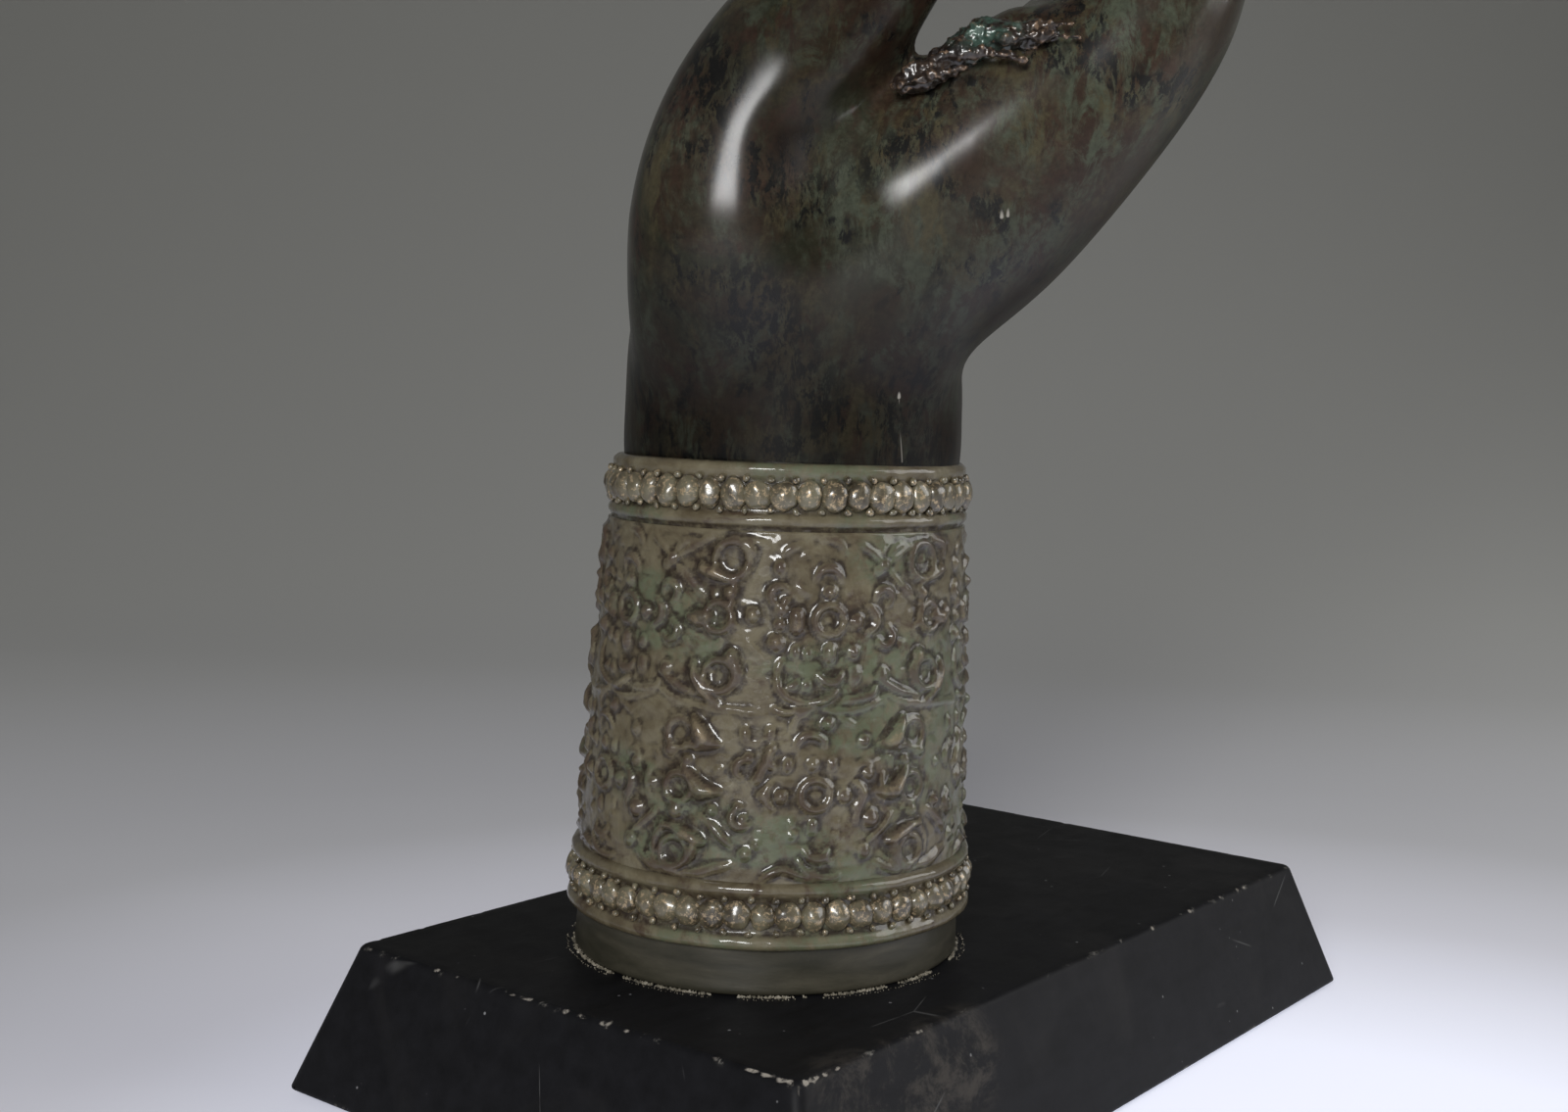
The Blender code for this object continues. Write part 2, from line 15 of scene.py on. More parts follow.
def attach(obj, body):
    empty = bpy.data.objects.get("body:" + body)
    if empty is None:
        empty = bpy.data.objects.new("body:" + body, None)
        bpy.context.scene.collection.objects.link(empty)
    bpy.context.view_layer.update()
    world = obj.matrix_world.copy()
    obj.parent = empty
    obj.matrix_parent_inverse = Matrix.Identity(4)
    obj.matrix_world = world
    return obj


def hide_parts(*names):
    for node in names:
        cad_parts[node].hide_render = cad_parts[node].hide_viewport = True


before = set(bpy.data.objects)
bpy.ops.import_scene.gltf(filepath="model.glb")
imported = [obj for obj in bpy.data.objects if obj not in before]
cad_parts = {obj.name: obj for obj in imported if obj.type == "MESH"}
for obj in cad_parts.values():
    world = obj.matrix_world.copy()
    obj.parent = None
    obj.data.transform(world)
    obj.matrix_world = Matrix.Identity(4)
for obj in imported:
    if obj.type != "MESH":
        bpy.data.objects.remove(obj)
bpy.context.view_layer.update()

MM = 0.001
scene = bpy.context.scene
scene.view_settings.view_transform = "Standard"


# The camera stands before the cuff, a little to the left of it and above its middle, and looks slightly down.
# Its place, its turn and its lens were worked out from the plinth's corners.
eye = Vector((-293.31, -201.16, 123.72))
picture_right = Vector((0.6131, -0.7893, 0.0338))
picture_up = Vector((0.0465, 0.0787, 0.9958))
picture_back = picture_right.cross(picture_up).normalized()
picture_up = picture_back.cross(picture_right).normalized()
camera_data = bpy.data.cameras.new("camera")
camera_data.lens = 42.80
camera_data.sensor_width = 36.0
camera_data.sensor_fit = "HORIZONTAL"
camera_data.clip_start = 0.01
camera_data.clip_end = 20.0
camera = bpy.data.objects.new("camera", camera_data)
turn = Matrix((picture_right.normalized(), picture_up, picture_back)).transposed()
camera.matrix_world = Matrix.Translation(eye * MM) @ turn.to_4x4()
scene.collection.objects.link(camera)
scene.camera = camera


# The floor and the backdrop: one sheet of pale paper, flat under the figurine and curved up behind it. Its
# colour and a glow that only the camera and reflections see are a painted pool of light, brightest close
# before the plinth and falling off to grey.
def node(kind, fed=None, **values):
    """Adds a node to the tree in hand. Each input is fed by a node, a socket or a plain value."""
    made = tree.nodes.new(kind)
    for key, value in values.items():
        setattr(made, key, value)
    for name, value in (fed or {}).items():
        if isinstance(value, bpy.types.Node):
            value = value.outputs[0]
        if isinstance(value, bpy.types.NodeSocket):
            tree.links.new(value, made.inputs[name])
        else:
            made.inputs[name].default_value = value
    return made


def new_finish(name):
    """A new material, and the tree and the shader in hand, which the other helpers work on."""
    made = bpy.data.materials.new(name)
    made.use_nodes = True
    return made, made.node_tree, made.node_tree.nodes["Principled BSDF"]


def object_point():
    return node("ShaderNodeTexCoord").outputs["Object"]


def ramp(source, stops):
    """A colour ramp whose stops are (place, colour)."""
    made = node("ShaderNodeValToRGB", {"Fac": source})
    band = made.color_ramp
    while len(band.elements) < len(stops):
        band.elements.new(0.5)
    for element, (place, colour) in zip(band.elements, stops):
        element.position = place
        element.color = (*colour, 1.0)
    return made.outputs["Color"]


def onto(name, source):
    """Leads a pattern to a socket of the shader."""
    tree.links.new(source, shader.inputs[name])


def all_over(values):
    """Sets what is the same all over the piece on the shader's own sockets."""
    for name, value in values.items():
        shader.inputs[name].default_value = value


sheet_front, bend_start, bend_radius, bend_steps = -2200.0, 480.0, 1400.0, 32
backdrop_height, half_span = 2600.0, 2600.0
sweep_mesh = bpy.data.meshes.new("sweep")
sweep = bpy.data.objects.new("sweep", sweep_mesh)
scene.collection.objects.link(sweep)
sweep_shape = bmesh.new()
away = Vector((0.7886, 0.6090, 0.0)).normalized()
along = Vector((-away.y, away.x, 0.0))
outline = [(sheet_front, 0.0), (bend_start, 0.0)]
for step in range(1, bend_steps + 1):
    angle = math.radians(90.0 * step / bend_steps)
    outline.append((bend_start + bend_radius * math.sin(angle), bend_radius * (1.0 - math.cos(angle))))
outline.append((bend_start + bend_radius, backdrop_height))
rows = []
for reach, height in outline:
    row = [away * reach + along * side + Vector((0.0, 0.0, height)) for side in (-half_span, half_span)]
    rows.append([sweep_shape.verts.new(point * MM) for point in row])
for lower, upper in zip(rows, rows[1:]):
    sweep_shape.faces.new((lower[1], lower[0], upper[0], upper[1]))
sweep_shape.to_mesh(sweep_mesh)
sweep_shape.free()
sweep_mesh.shade_smooth()

paper, tree, shader = new_finish("paper_with_painted_light")
all_over({"Roughness": 0.9, "Specular IOR Level": 0.1})
brightest, reach_of_light = (-0.040, -0.100, 0.0), 2.0
off = node("ShaderNodeVectorMath", {0: object_point(), 1: brightest}, operation="DISTANCE")
span = node("ShaderNodeMapRange", {"Value": off.outputs["Value"], "From Max": reach_of_light})
# Painted light: the paper's colour falls off with distance from the brightest spot.
onto("Base Color", ramp(span, [
    (0.0, (0.74, 0.74, 0.76)), (0.18, (0.60, 0.60, 0.61)), (0.42, (0.58, 0.58, 0.56)),
    (1.0, (0.47, 0.47, 0.443)),
]))
# Painted light: a glow, seen only by the camera and in reflections, brightest before the plinth.
onto("Emission Color", ramp(span, [
    (0.05, (0.45, 0.47, 0.58)), (0.10, (0.14, 0.14, 0.18)), (0.15, (0.015, 0.015, 0.025)),
    (0.30, (0.0, 0.0, 0.0)), (1.0, (0.01, 0.01, 0.009)),
]))
ray = node("ShaderNodeLightPath").outputs
seen = ray["Is Camera Ray"]
for kind in ("Is Glossy Ray", "Is Transmission Ray"):
    seen = node("ShaderNodeMath", {0: seen, 1: ray[kind]}, operation="MAXIMUM").outputs[0]
onto("Emission Strength", seen)
sweep_mesh.materials.append(paper)


# The casting's hand: lost-wax bronze, filed smooth and patinated dark brown and green, in one piece with the
# wrist and the cuff below. The forms of palm, thumb, heel and fingers are lofted, then melted into one skin.
casting_x = -34.1
hand_foot = Vector((casting_x, 0.0, 112.3))
hand_angle = math.radians(-50.0)
to_back = Vector((math.cos(hand_angle), math.sin(hand_angle), 0.0))
to_little = Vector((-to_back.y, to_back.x, 0.0))


def in_hand(s, y, u):
    """A point given towards the back of the hand, towards the little finger, and up from the cuff's top."""
    return hand_foot + to_back * s + to_little * y + Vector((0.0, 0.0, u))


def smooth_stations(stations, per_span):
    """Catmull-Rom through the stations, so that a form swells and bends without corners."""
    rows = [np.array(station, dtype=float) for station in stations]
    rows = [2 * rows[0] - rows[1]] + rows + [2 * rows[-1] - rows[-2]]
    made = []
    for n in range(1, len(rows) - 2):
        a, b, c, d = rows[n - 1 : n + 3]
        for step in range(per_span):
            t = step / per_span
            curve = 2 * b + (c - a) * t + (2 * a - 5 * b + 4 * c - d) * t**2 + (3 * b - a - 3 * c + d) * t**3
            made.append(curve / 2)
    made.append(rows[-2])
    return made


def loft(shape, stations, sides=72, per_span=8, round_end=1.0):
    """A closed form through stations (back, little, up, half depth, half width, squareness)."""
    rows = smooth_stations(stations, per_span)
    centres = [Vector(row[:3]) for row in rows]
    sections = []
    for n, row in enumerate(rows):
        heading = (centres[min(n + 1, len(rows) - 1)] - centres[max(n - 1, 0)]).normalized()
        sections.append((centres[n], heading, row[3], row[4], row[5]))
    for place, way in ((0, -1.0), (-1, 1.0)):
        centre, heading, depth, width, square = sections[place]
        reach = round_end * min(depth, width)
        dome = []
        for degrees in (15, 30, 45, 60, 75, 85):
            out = math.sin(math.radians(degrees)) * reach * way
            shrink = math.cos(math.radians(degrees))
            dome.append((centre + heading * out, heading, depth * shrink, width * shrink, square))
        sections = dome[::-1] + sections if way < 0 else sections + dome
    rings = []
    for centre, heading, depth, width, square in sections:
        side = Vector((0.0, 1.0, 0.0))
        side = (side - heading * side.dot(heading)).normalized()
        face = side.cross(heading)
        ring = []
        for k in range(sides):
            angle = 2.0 * math.pi * k / sides
            c, s = math.cos(angle), math.sin(angle)
            c = math.copysign(abs(c) ** (2.0 / square), c)
            s = math.copysign(abs(s) ** (2.0 / square), s)
            ring.append(shape.verts.new(in_hand(*(centre + face * depth * c + side * width * s)) * MM))
        rings.append(ring)
    for lower, upper in zip(rings, rings[1:]):
        for k in range(sides):
            after = (k + 1) % sides
            shape.faces.new((lower[k], lower[after], upper[after], upper[k]))
    shape.faces.new(rings[0][::-1])
    shape.faces.new(rings[-1])


nails = []


def finger(shape, root, knuckle, bones, leans, spread, radii):
    """Metacarpal head, three bones and a rounded tip. Leans are from upright, towards the hand's back."""
    stations = [(*root, radii[0] * 0.92, radii[0], 2.1), (*knuckle, radii[0], radii[0] * 0.96, 2.1)]
    at = Vector(knuckle)
    drift = math.radians(spread)
    for bone, lean, after in zip(bones, leans, radii[1:]):
        tilt = math.radians(lean)
        level = math.cos(drift)
        heading = Vector((math.sin(tilt) * level, math.sin(drift), math.cos(tilt) * level))
        at = at + heading * bone
        stations.append((*at, after, after * 0.97, 2.1))
    loft(shape, stations, sides=48, per_span=10)
    outward = Vector((math.cos(tilt), 0.0, -math.sin(tilt)))
    nails.append((at, heading, outward, radii[-1]))


def settle(piece):
    """Turns what the modifiers make of a piece into its plain mesh."""
    bpy.context.view_layer.update()
    seen = piece.evaluated_get(bpy.context.evaluated_depsgraph_get())
    mesh = bpy.data.meshes.new_from_object(seen)
    piece.modifiers.clear()
    old = piece.data
    piece.data = mesh
    bpy.data.meshes.remove(old)
    mesh.name = piece.name
    return piece


def piece_from(name, shape):
    mesh = bpy.data.meshes.new(name)
    shape.to_mesh(mesh)
    shape.free()
    made = bpy.data.objects.new(name, mesh)
    scene.collection.objects.link(made)
    return made


def shade_smooth(piece):
    piece.data.shade_smooth()
    return piece


def one_skin(piece, voxel, relaxing):
    """Melts overlapping forms into one closed skin and softens the creases between them."""
    melt = piece.modifiers.new("melt", "REMESH")
    melt.mode = "VOXEL"
    melt.voxel_size = voxel * MM
    relax = piece.modifiers.new("relax", "SMOOTH")
    relax.factor = 0.5
    relax.iterations = relaxing
    return shade_smooth(settle(piece))


forms = bmesh.new()
wrist_and_palm = [
    (1.5, 0.0, -14.0, 27.5, 28.0, 2.0),
    (1.6, 0.0, 2.0, 29.6, 29.6, 2.0),
    (1.6, 0.0, 12.0, 29.4, 30.0, 2.05),
    (3.0, -0.3, 22.0, 29.4, 31.2, 2.2),
    (13.2, 0.0, 35.5, 24.6, 34.5, 2.4),
    (31.6, 2.0, 48.5, 21.0, 37.0, 2.5),
    (49.3, 3.0, 66.0, 17.5, 39.0, 2.5),
    (59.5, 4.0, 79.0, 15.0, 39.0, 2.4),
    (64.5, 4.0, 87.0, 12.0, 38.0, 2.3),
]
loft(forms, wrist_and_palm, sides=96, round_end=0.5)
thumb = [
    (-2.0, -2.0, 2.0, 18.0, 16.0, 2.0),
    (-8.0, -11.0, 20.0, 18.5, 18.5, 2.0),
    (-9.6, -19.2, 36.0, 18.0, 18.2, 2.1),
    (-8.4, -20.8, 50.0, 16.2, 16.8, 2.1),
    (-2.1, -22.3, 63.0, 15.2, 15.0, 2.1),
    (7.2, -24.3, 76.0, 12.9, 13.0, 2.1),
    (16.5, -25.5, 89.0, 11.0, 11.6, 2.1),
    (25.0, -26.0, 102.0, 9.8, 10.6, 2.1),
    (31.0, -26.0, 114.0, 8.0, 9.0, 2.1),
]
loft(forms, thumb)
between_thumb_and_palm = [
    (1.0, -9.0, 18.0, 19.0, 17.0, 2.0),
    (6.0, -15.0, 33.0, 19.0, 16.5, 2.0),
    (15.0, -20.0, 42.5, 17.0, 15.8, 2.0),
    (26.0, -22.5, 51.0, 14.5, 14.2, 2.0),
    (38.0, -23.5, 60.0, 12.5, 13.0, 2.0),
    (49.0, -22.0, 71.5, 9.5, 11.0, 2.0),
]
loft(forms, between_thumb_and_palm)
heel = [
    (-8.0, 13.0, 22.0, 12.0, 13.0, 2.0),
    (1.0, 21.0, 36.0, 13.5, 13.0, 2.0),
    (13.0, 25.0, 51.0, 9.5, 11.0, 2.0),
    (26.0, 25.0, 64.0, 5.0, 8.0, 2.0),
]
loft(forms, heel)
web = [
    (-1.0, -16.5, 36.0, 13.0, 12.2, 2.0),
    (6.0, -18.6, 44.0, 13.0, 12.0, 2.0),
    (14.5, -20.7, 52.5, 11.0, 10.8, 2.0),
    (24.0, -24.0, 62.0, 6.3, 8.5, 2.0),
    (35.0, -24.0, 70.0, 5.5, 8.0, 2.0),
]
loft(forms, web, sides=48)
finger(forms, (41, -21, 57), (56.5, -23, 78), (37, 25, 19), (18, -42, -106), -1, (12.4, 9.4, 8.3, 6.6))
finger(forms, (49, -4, 61), (63.5, -5, 84), (41, 27, 18.0), (14, 4, -4), 0.5, (12.0, 9.2, 8.0, 6.3))
finger(forms, (48, 12, 59), (62.5, 13.2, 81), (38, 25, 17), (12, 3, -5), -0.5, (11.4, 9.0, 7.8, 6.1))
finger(forms, (45, 27, 54), (58.5, 29.6, 75), (31, 20, 15), (11, 3, -6), -2.5, (10.4, 8.2, 7.2, 5.6))
bmesh.ops.recalc_face_normals(forms, faces=forms.faces)
hand = one_skin(piece_from("hand", forms), 1.0, 50)


def on_line(points, start, end):
    """How far each point lies along a line in (s, u) and to the right of it, in millimetres."""
    start, end = np.array(start), np.array(end)
    way = (end - start) / np.linalg.norm(end - start)
    flat = points[:, [0, 2]] - start
    return flat @ way, flat @ np.array([way[1], -way[0]])


seats = np.empty(len(hand.data.vertices) * 3, dtype=np.float32)
hand.data.vertices.foreach_get("co", seats)
seats = seats.reshape(-1, 3).astype(float)
from_foot = seats / MM - np.array(hand_foot)
in_palm = np.stack([from_foot @ np.array(to_back), from_foot @ np.array(to_little), from_foot[:, 2]], -1)

# The fold between thumb and palm is sunk into the skin, and the ridges beside it are eased.
along_groove, right_of_groove = on_line(in_palm, (-3.7, 48.5), (17.6, 64.7))
spread = np.where(right_of_groove > 0.0, 6.5, 3.0)
fading_in = np.clip((along_groove + 5.0) / 13.0, 0.0, 1.0)
fading_out = np.clip((34.0 - along_groove) / 12.0, 0.0, 1.0)
sink = 1.9 * np.exp(-((right_of_groove / spread) ** 2) / 2.0)
sink += 1.1 * np.exp(-((right_of_groove / 1.4) ** 2) / 2.0)
sink *= (fading_in**2 * (3.0 - 2.0 * fading_in)) * fading_out
sink *= np.clip((-22.0 - in_palm[:, 1]) / 4.0, 0.0, 1.0)
seats += np.outer(sink * MM, np.array(to_little))
hand.data.vertices.foreach_set("co", seats.astype(np.float32).ravel())
eased = hand.vertex_groups.new(name="eased")
share = np.zeros(len(seats))
for start, end, reach in (
    ((3.0, 48.0), (4.5, 28.0), 13.0), ((11.0, 43.5), (32.0, 57.0), 11.0),
    ((-27.0, 28.0), (-27.0, 14.0), 12.0),
):
    along_it, off_it = on_line(in_palm, start, end)
    past = np.maximum(np.maximum(-along_it, along_it - math.dist(start, end)), 0.0)
    front = in_palm[:, 1] < (-20.0 if start[0] > 0.0 else 15.0)
    share = np.maximum(share, np.clip(1.5 * (1.0 - np.hypot(past, off_it) / reach), 0.0, 1.0) * front)
for index in np.nonzero(share)[0]:
    eased.add([int(index)], float(share[index]), "REPLACE")
ease = hand.modifiers.new("ease", "SMOOTH")
ease.factor = 0.5
ease.iterations = 120
ease.vertex_group = "eased"
shade_smooth(settle(hand))

patina, tree, shader = new_finish("patinated_bronze")


def noise(place, scale, detail, rough, distortion, seed):
    fed = {"Vector": place, "W": seed, "Scale": scale, "Detail": detail, "Roughness": rough}
    fed["Distortion"] = distortion
    return node("ShaderNodeTexNoise", fed, noise_dimensions="4D").outputs["Fac"]


def mask(source, low, high):
    """Nought below low, one above high, soft between."""
    fed = {"Value": source, "From Min": low, "From Max": high}
    return node("ShaderNodeMapRange", fed, interpolation_type="SMOOTHSTEP").outputs["Result"]


def varied(source, low, high):
    """Spreads a pattern between two values."""
    return node("ShaderNodeMapRange", {"Value": source, "To Min": low, "To Max": high}).outputs["Result"]


def blend(under, over, share, kind="MIX"):
    """Lays a colour over another by a share, which is a number or a socket."""
    under, over = ((*colour, 1.0) if isinstance(colour, tuple) else colour for colour in (under, over))
    return node("ShaderNodeMix", {6: under, 7: over, 0: share}, data_type="RGBA", blend_type=kind).outputs[2]


def darkened(colour, by, share=1.0):
    return blend(colour, by, share, "MULTIPLY")


def stretched(place, scale, turn=(0.0, 0.0, 0.0)):
    return node("ShaderNodeMapping", {"Vector": place, "Scale": scale, "Rotation": turn}).outputs["Vector"]


def calculate(operation, a, b):
    return node("ShaderNodeMath", {0: a, 1: b}, operation=operation).outputs[0]


def times(a, b):
    return calculate("MULTIPLY", a, b)


def bump(source, height, strength):
    """Raises a pattern by a height in millimetres."""
    made = node("ShaderNodeBump", {"Height": source, "Distance": height * MM, "Strength": strength})
    onto("Normal", made.outputs["Normal"])


def streak(place, start, end, half_width):
    """One along a line between two points of the frame, nought away from it."""
    start, end = Vector(start) * MM, Vector(end) * MM
    span = end - start
    away = node("ShaderNodeVectorMath", {0: place, 1: start}, operation="SUBTRACT")
    dot = node("ShaderNodeVectorMath", {0: away, 1: span / span.length_squared}, operation="DOT_PRODUCT")
    share = node("ShaderNodeClamp", {"Value": dot.outputs["Value"]})
    foot = node("ShaderNodeVectorMath", {0: span, "Scale": share}, operation="SCALE")
    gap = node("ShaderNodeVectorMath", {0: away, 1: foot}, operation="DISTANCE")
    return mask(gap.outputs["Value"], half_width * MM, half_width * 0.4 * MM)


def on_hand(start, end, half_width):
    return streak(place, in_hand(*start), in_hand(*end), half_width)


place = object_point()
brushed = stretched(place, (1.0, 1.0, 0.42), (0.3, 0.5, 0.2))
cloud = noise(place, 30.0, 4.0, 0.62, 1.0, 1.0)
colour = ramp(cloud, [
    (0.38, (0.024, 0.014, 0.010)), (0.50, (0.027, 0.019, 0.013)), (0.60, (0.022, 0.023, 0.015)),
])
dabs = mask(noise(brushed, 270.0, 8.0, 0.76, 0.8, 4.0), 0.44, 0.56)
green_area = mask(noise(place, 50.0, 6.0, 0.70, 1.2, 7.0), 0.41, 0.58)
colour = blend(colour, (0.045, 0.052, 0.038), times(green_area, dabs))
dabs = mask(noise(brushed, 340.0, 7.0, 0.76, 0.6, 15.0), 0.45, 0.56)
olive_area = mask(noise(place, 60.0, 6.0, 0.70, 1.0, 12.0), 0.46, 0.62)
colour = blend(colour, (0.049, 0.042, 0.024), times(olive_area, dabs))
dabs = mask(noise(brushed, 320.0, 7.0, 0.76, 0.6, 19.0), 0.44, 0.56)
red_area = mask(noise(place, 66.0, 6.0, 0.70, 1.0, 18.0), 0.50, 0.62)
colour = blend(colour, (0.033, 0.019, 0.014), times(red_area, dabs))
dabs = mask(noise(brushed, 520.0, 7.0, 0.80, 0.5, 25.0), 0.47, 0.54)
dark_area = mask(noise(place, 48.0, 4.0, 0.62, 1.2, 21.0), 0.50, 0.58)
for start, end, wide in (
    ((2.0, -37.0, 44.0), (17.0, -36.0, 53.0), 6.5), ((-9.0, -32.0, 28.0), (2.0, -33.0, 11.0), 10.0),
    ((-18.0, -32.0, 66.0), (-12.0, -34.0, 58.0), 8.0),
):
    dark_area = calculate("MAXIMUM", dark_area, on_hand(start, end, wide))
colour = blend(colour, (0.007, 0.007, 0.007), times(dark_area, dabs))

# The colour is darker towards the wrist, lighter up the palm, and darker over the thumb's upper part towards
# its tip.
# The darkening on the thumb's flank, in the fold and down the left side is painted shade.
height_there = node("ShaderNodeSeparateXYZ", {0: place}).outputs["Z"]
rising = mask(height_there, (hand_foot.z + 8.0) * MM, (hand_foot.z + 62.0) * MM)
colour = darkened(colour, ramp(rising, [(0.0, (0.38, 0.37, 0.35)), (1.0, (1.20, 1.19, 1.09))]))
# Painted shade on the thumb's flank, which turns away from the light.
painted_flank_shade = on_hand((-7.0, -36.0, 56.0), (12.0, -36.0, 74.0), 11.0)
colour = darkened(colour, (0.50, 0.46, 0.43), times(painted_flank_shade, 0.85))
# Painted shade in the fold between thumb and palm.
colour = darkened(colour, (0.38, 0.33, 0.31), on_hand((-1.0, -36.5, 50.0), (17.0, -33.0, 64.5), 4.5))
colour = darkened(colour, (0.62, 0.62, 0.62), on_hand((-20.0, -30.0, 66.0), (12.0, -36.0, 95.0), 16.0))
# Painted shade down the left side of the wrist and palm, turned away from the broad light.
colour = darkened(colour, (0.60, 0.60, 0.60), on_hand((-33.0, -10.0, 20.0), (-33.0, -14.0, 60.0), 12.0))
grain = ramp(noise(place, 900.0, 4.0, 0.7, 0.0, 30.0), [(0.35, (0.45, 0.45, 0.45)), (0.62, (1.0, 1.0, 1.0))])
colour = darkened(colour, grain, 0.65)
back_edge = on_hand((34.0, -14.0, 28.0), (62.0, -14.0, 66.0), 17.0)
colour = darkened(colour, (0.66, 0.63, 0.58), back_edge)

# Two short ticks on the palm, one above the cuff, and a fine scratch below that.
for start, end, wide, strength in (
    ((31.5, -33.8, 42.4), (31.7, -33.8, 40.7), 0.45, 0.8),
    ((32.6, -33.8, 42.2), (32.7, -33.8, 40.9), 0.35, 0.7),
    ((17.2, -25.9, 13.4), (17.5, -25.8, 12.0), 0.4, 0.8),
    ((17.6, -25.7, 11.5), (18.6, -24.0, 1.5), 0.16, 0.35),
):
    colour = blend(colour, (0.33, 0.31, 0.28), times(on_hand(start, end, wide), strength))
onto("Base Color", colour)
onto("Roughness", varied(noise(brushed, 90.0, 6.0, 0.7, 0.4, 33.0), 0.40, 0.60))
dull = calculate("MAXIMUM", on_hand((2.0, -36.0, 37.0), (8.5, -36.0, 41.0), 9.5), times(back_edge, 0.8))
dull = calculate("MAXIMUM", dull, on_hand((-1.0, -37.0, 68.0), (14.0, -37.0, 90.0), 10.0))
off_wrist = node("ShaderNodeMapRange", {
    "Value": height_there, "To Min": 0.35,
    "From Min": (hand_foot.z + 8.0) * MM, "From Max": (hand_foot.z + 36.0) * MM,
}, interpolation_type="SMOOTHSTEP")
onto("Coat Weight", times(times(calculate("SUBTRACT", 1.0, dull), off_wrist.outputs["Result"]), 0.95))
all_over({"Specular IOR Level": 0.05, "Coat Roughness": 0.23, "Coat IOR": 1.4})
bump(noise(brushed, 420.0, 6.0, 0.65, 0.3, 41.0), 0.12, 0.5)


def of_the_casting(piece, finish):
    """Gives a piece its finish and puts it in the place of the solid casting."""
    piece.data.materials.clear()
    piece.data.materials.append(finish)
    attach(piece, "root")
    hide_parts("hand_casting")


of_the_casting(hand, patina)


# The nails: low oval plates on the fingertips, cast with the hand in the same bronze and filed smooth. They
# follow the skin of each tip and sink into it at their rims.
nail_shape = bmesh.new()
skin = BVHTree.FromObject(hand, bpy.context.evaluated_depsgraph_get())
thumb_heading, thumb_outward = Vector((0.44, 0.11, 0.89)).normalized(), Vector((-0.83, -0.35, 0.45))
nails.append((Vector((31.0, -26.0, 114.0)), thumb_heading, thumb_outward, 8.0))
nail_sides = 48
nail_rings = (
    (0.0, 0.34), (0.35, 0.33), (0.65, 0.30), (0.85, 0.24), (0.95, 0.12), (1.0, -0.16), (0.9, -0.9),
    (0.0, -0.9),
)
for tip, heading, outward, radius in nails:
    across = heading.cross(outward).normalized()
    outward = across.cross(heading).normalized()
    length, width = 0.86 * radius, 0.70 * radius
    inward = (in_hand(*(tip - outward)) - in_hand(*tip)).normalized()
    rings = []
    for share, lift in nail_rings:
        ring = []
        for k in range(nail_sides):
            angle = 2.0 * math.pi * k / nail_sides
            c, s = math.cos(angle), math.sin(angle)
            x = math.copysign(abs(c) ** 0.8, c) * length * share
            y = math.copysign(abs(s) ** 0.8, s) * width * share
            above = in_hand(*(tip + heading * (x - 0.08 * radius) + across * y + outward * 3.0 * radius))
            met = skin.ray_cast(above * MM, inward)[0]
            ring.append(nail_shape.verts.new(met - inward * lift * MM))
            if share == 0.0:
                break
        rings.append(ring)
    for inner, outer in zip(rings, rings[1:]):
        for k in range(nail_sides):
            after = (k + 1) % nail_sides
            corners = [inner[k % len(inner)], inner[after % len(inner)]]
            corners += [outer[after % len(outer)], outer[k % len(outer)]]
            nail_shape.faces.new(list(dict.fromkeys(corners)))
bmesh.ops.recalc_face_normals(nail_shape, faces=nail_shape.faces)
of_the_casting(shade_smooth(piece_from("fingernails", nail_shape)), patina)


# The lump in the fork of thumb and palm: rough bronze left from the casting and never filed off, crumpled,
# glossy and in part green with verdigris.
lump_shape = bmesh.new()
loft(lump_shape, [
    (15.5, -32.6, 60.6, 1.6, 1.8, 2.0), (19.0, -32.4, 62.4, 2.2, 2.6, 2.0),
    (24.0, -31.4, 65.6, 2.8, 3.4, 2.0), (28.0, -31.0, 68.0, 3.3, 3.8, 2.0),
    (31.5, -31.6, 68.4, 3.0, 3.6, 2.0), (36.0, -33.0, 68.6, 2.2, 2.6, 2.0),
    (39.0, -34.0, 69.0, 1.3, 1.6, 2.0),
], sides=32, round_end=0.8)
for points in (
    [(30.5, -34.0, 69.6, 0.9), (36.0, -35.2, 70.0, 0.75), (41.5, -35.6, 70.4, 0.4)],
    [(29.5, -35.4, 67.6, 0.9), (35.5, -36.6, 68.2, 0.75), (42.0, -36.8, 68.2, 0.4)],
    [(23.0, -35.0, 64.8, 0.8), (28.0, -36.6, 65.4, 0.9), (33.5, -37.6, 64.4, 0.4)],
    [(16.0, -33.8, 62.2, 0.7), (20.0, -34.8, 64.2, 0.9), (25.5, -35.6, 66.8, 0.5)],
    [(15.0, -34.0, 60.2, 0.7), (19.0, -35.4, 61.6, 0.8), (24.5, -36.8, 63.0, 0.4)],
):
    loft(lump_shape, [(s, y, u, r, r, 2.0) for s, y, u, r in points], sides=16, per_span=6)
bmesh.ops.recalc_face_normals(lump_shape, faces=lump_shape.faces)
web_lump = one_skin(piece_from("web_lump", lump_shape), 0.28, 2)
for name, size, strength in (("folds", 3.4, 2.4), ("crumples", 1.1, 1.0)):
    texture = bpy.data.textures.new(name, "CLOUDS")
    texture.noise_scale = size * MM
    fold = web_lump.modifiers.new(name, "DISPLACE")
    fold.texture = texture
    fold.texture_coords = "LOCAL"
    fold.strength = strength * MM
shade_smooth(settle(web_lump))

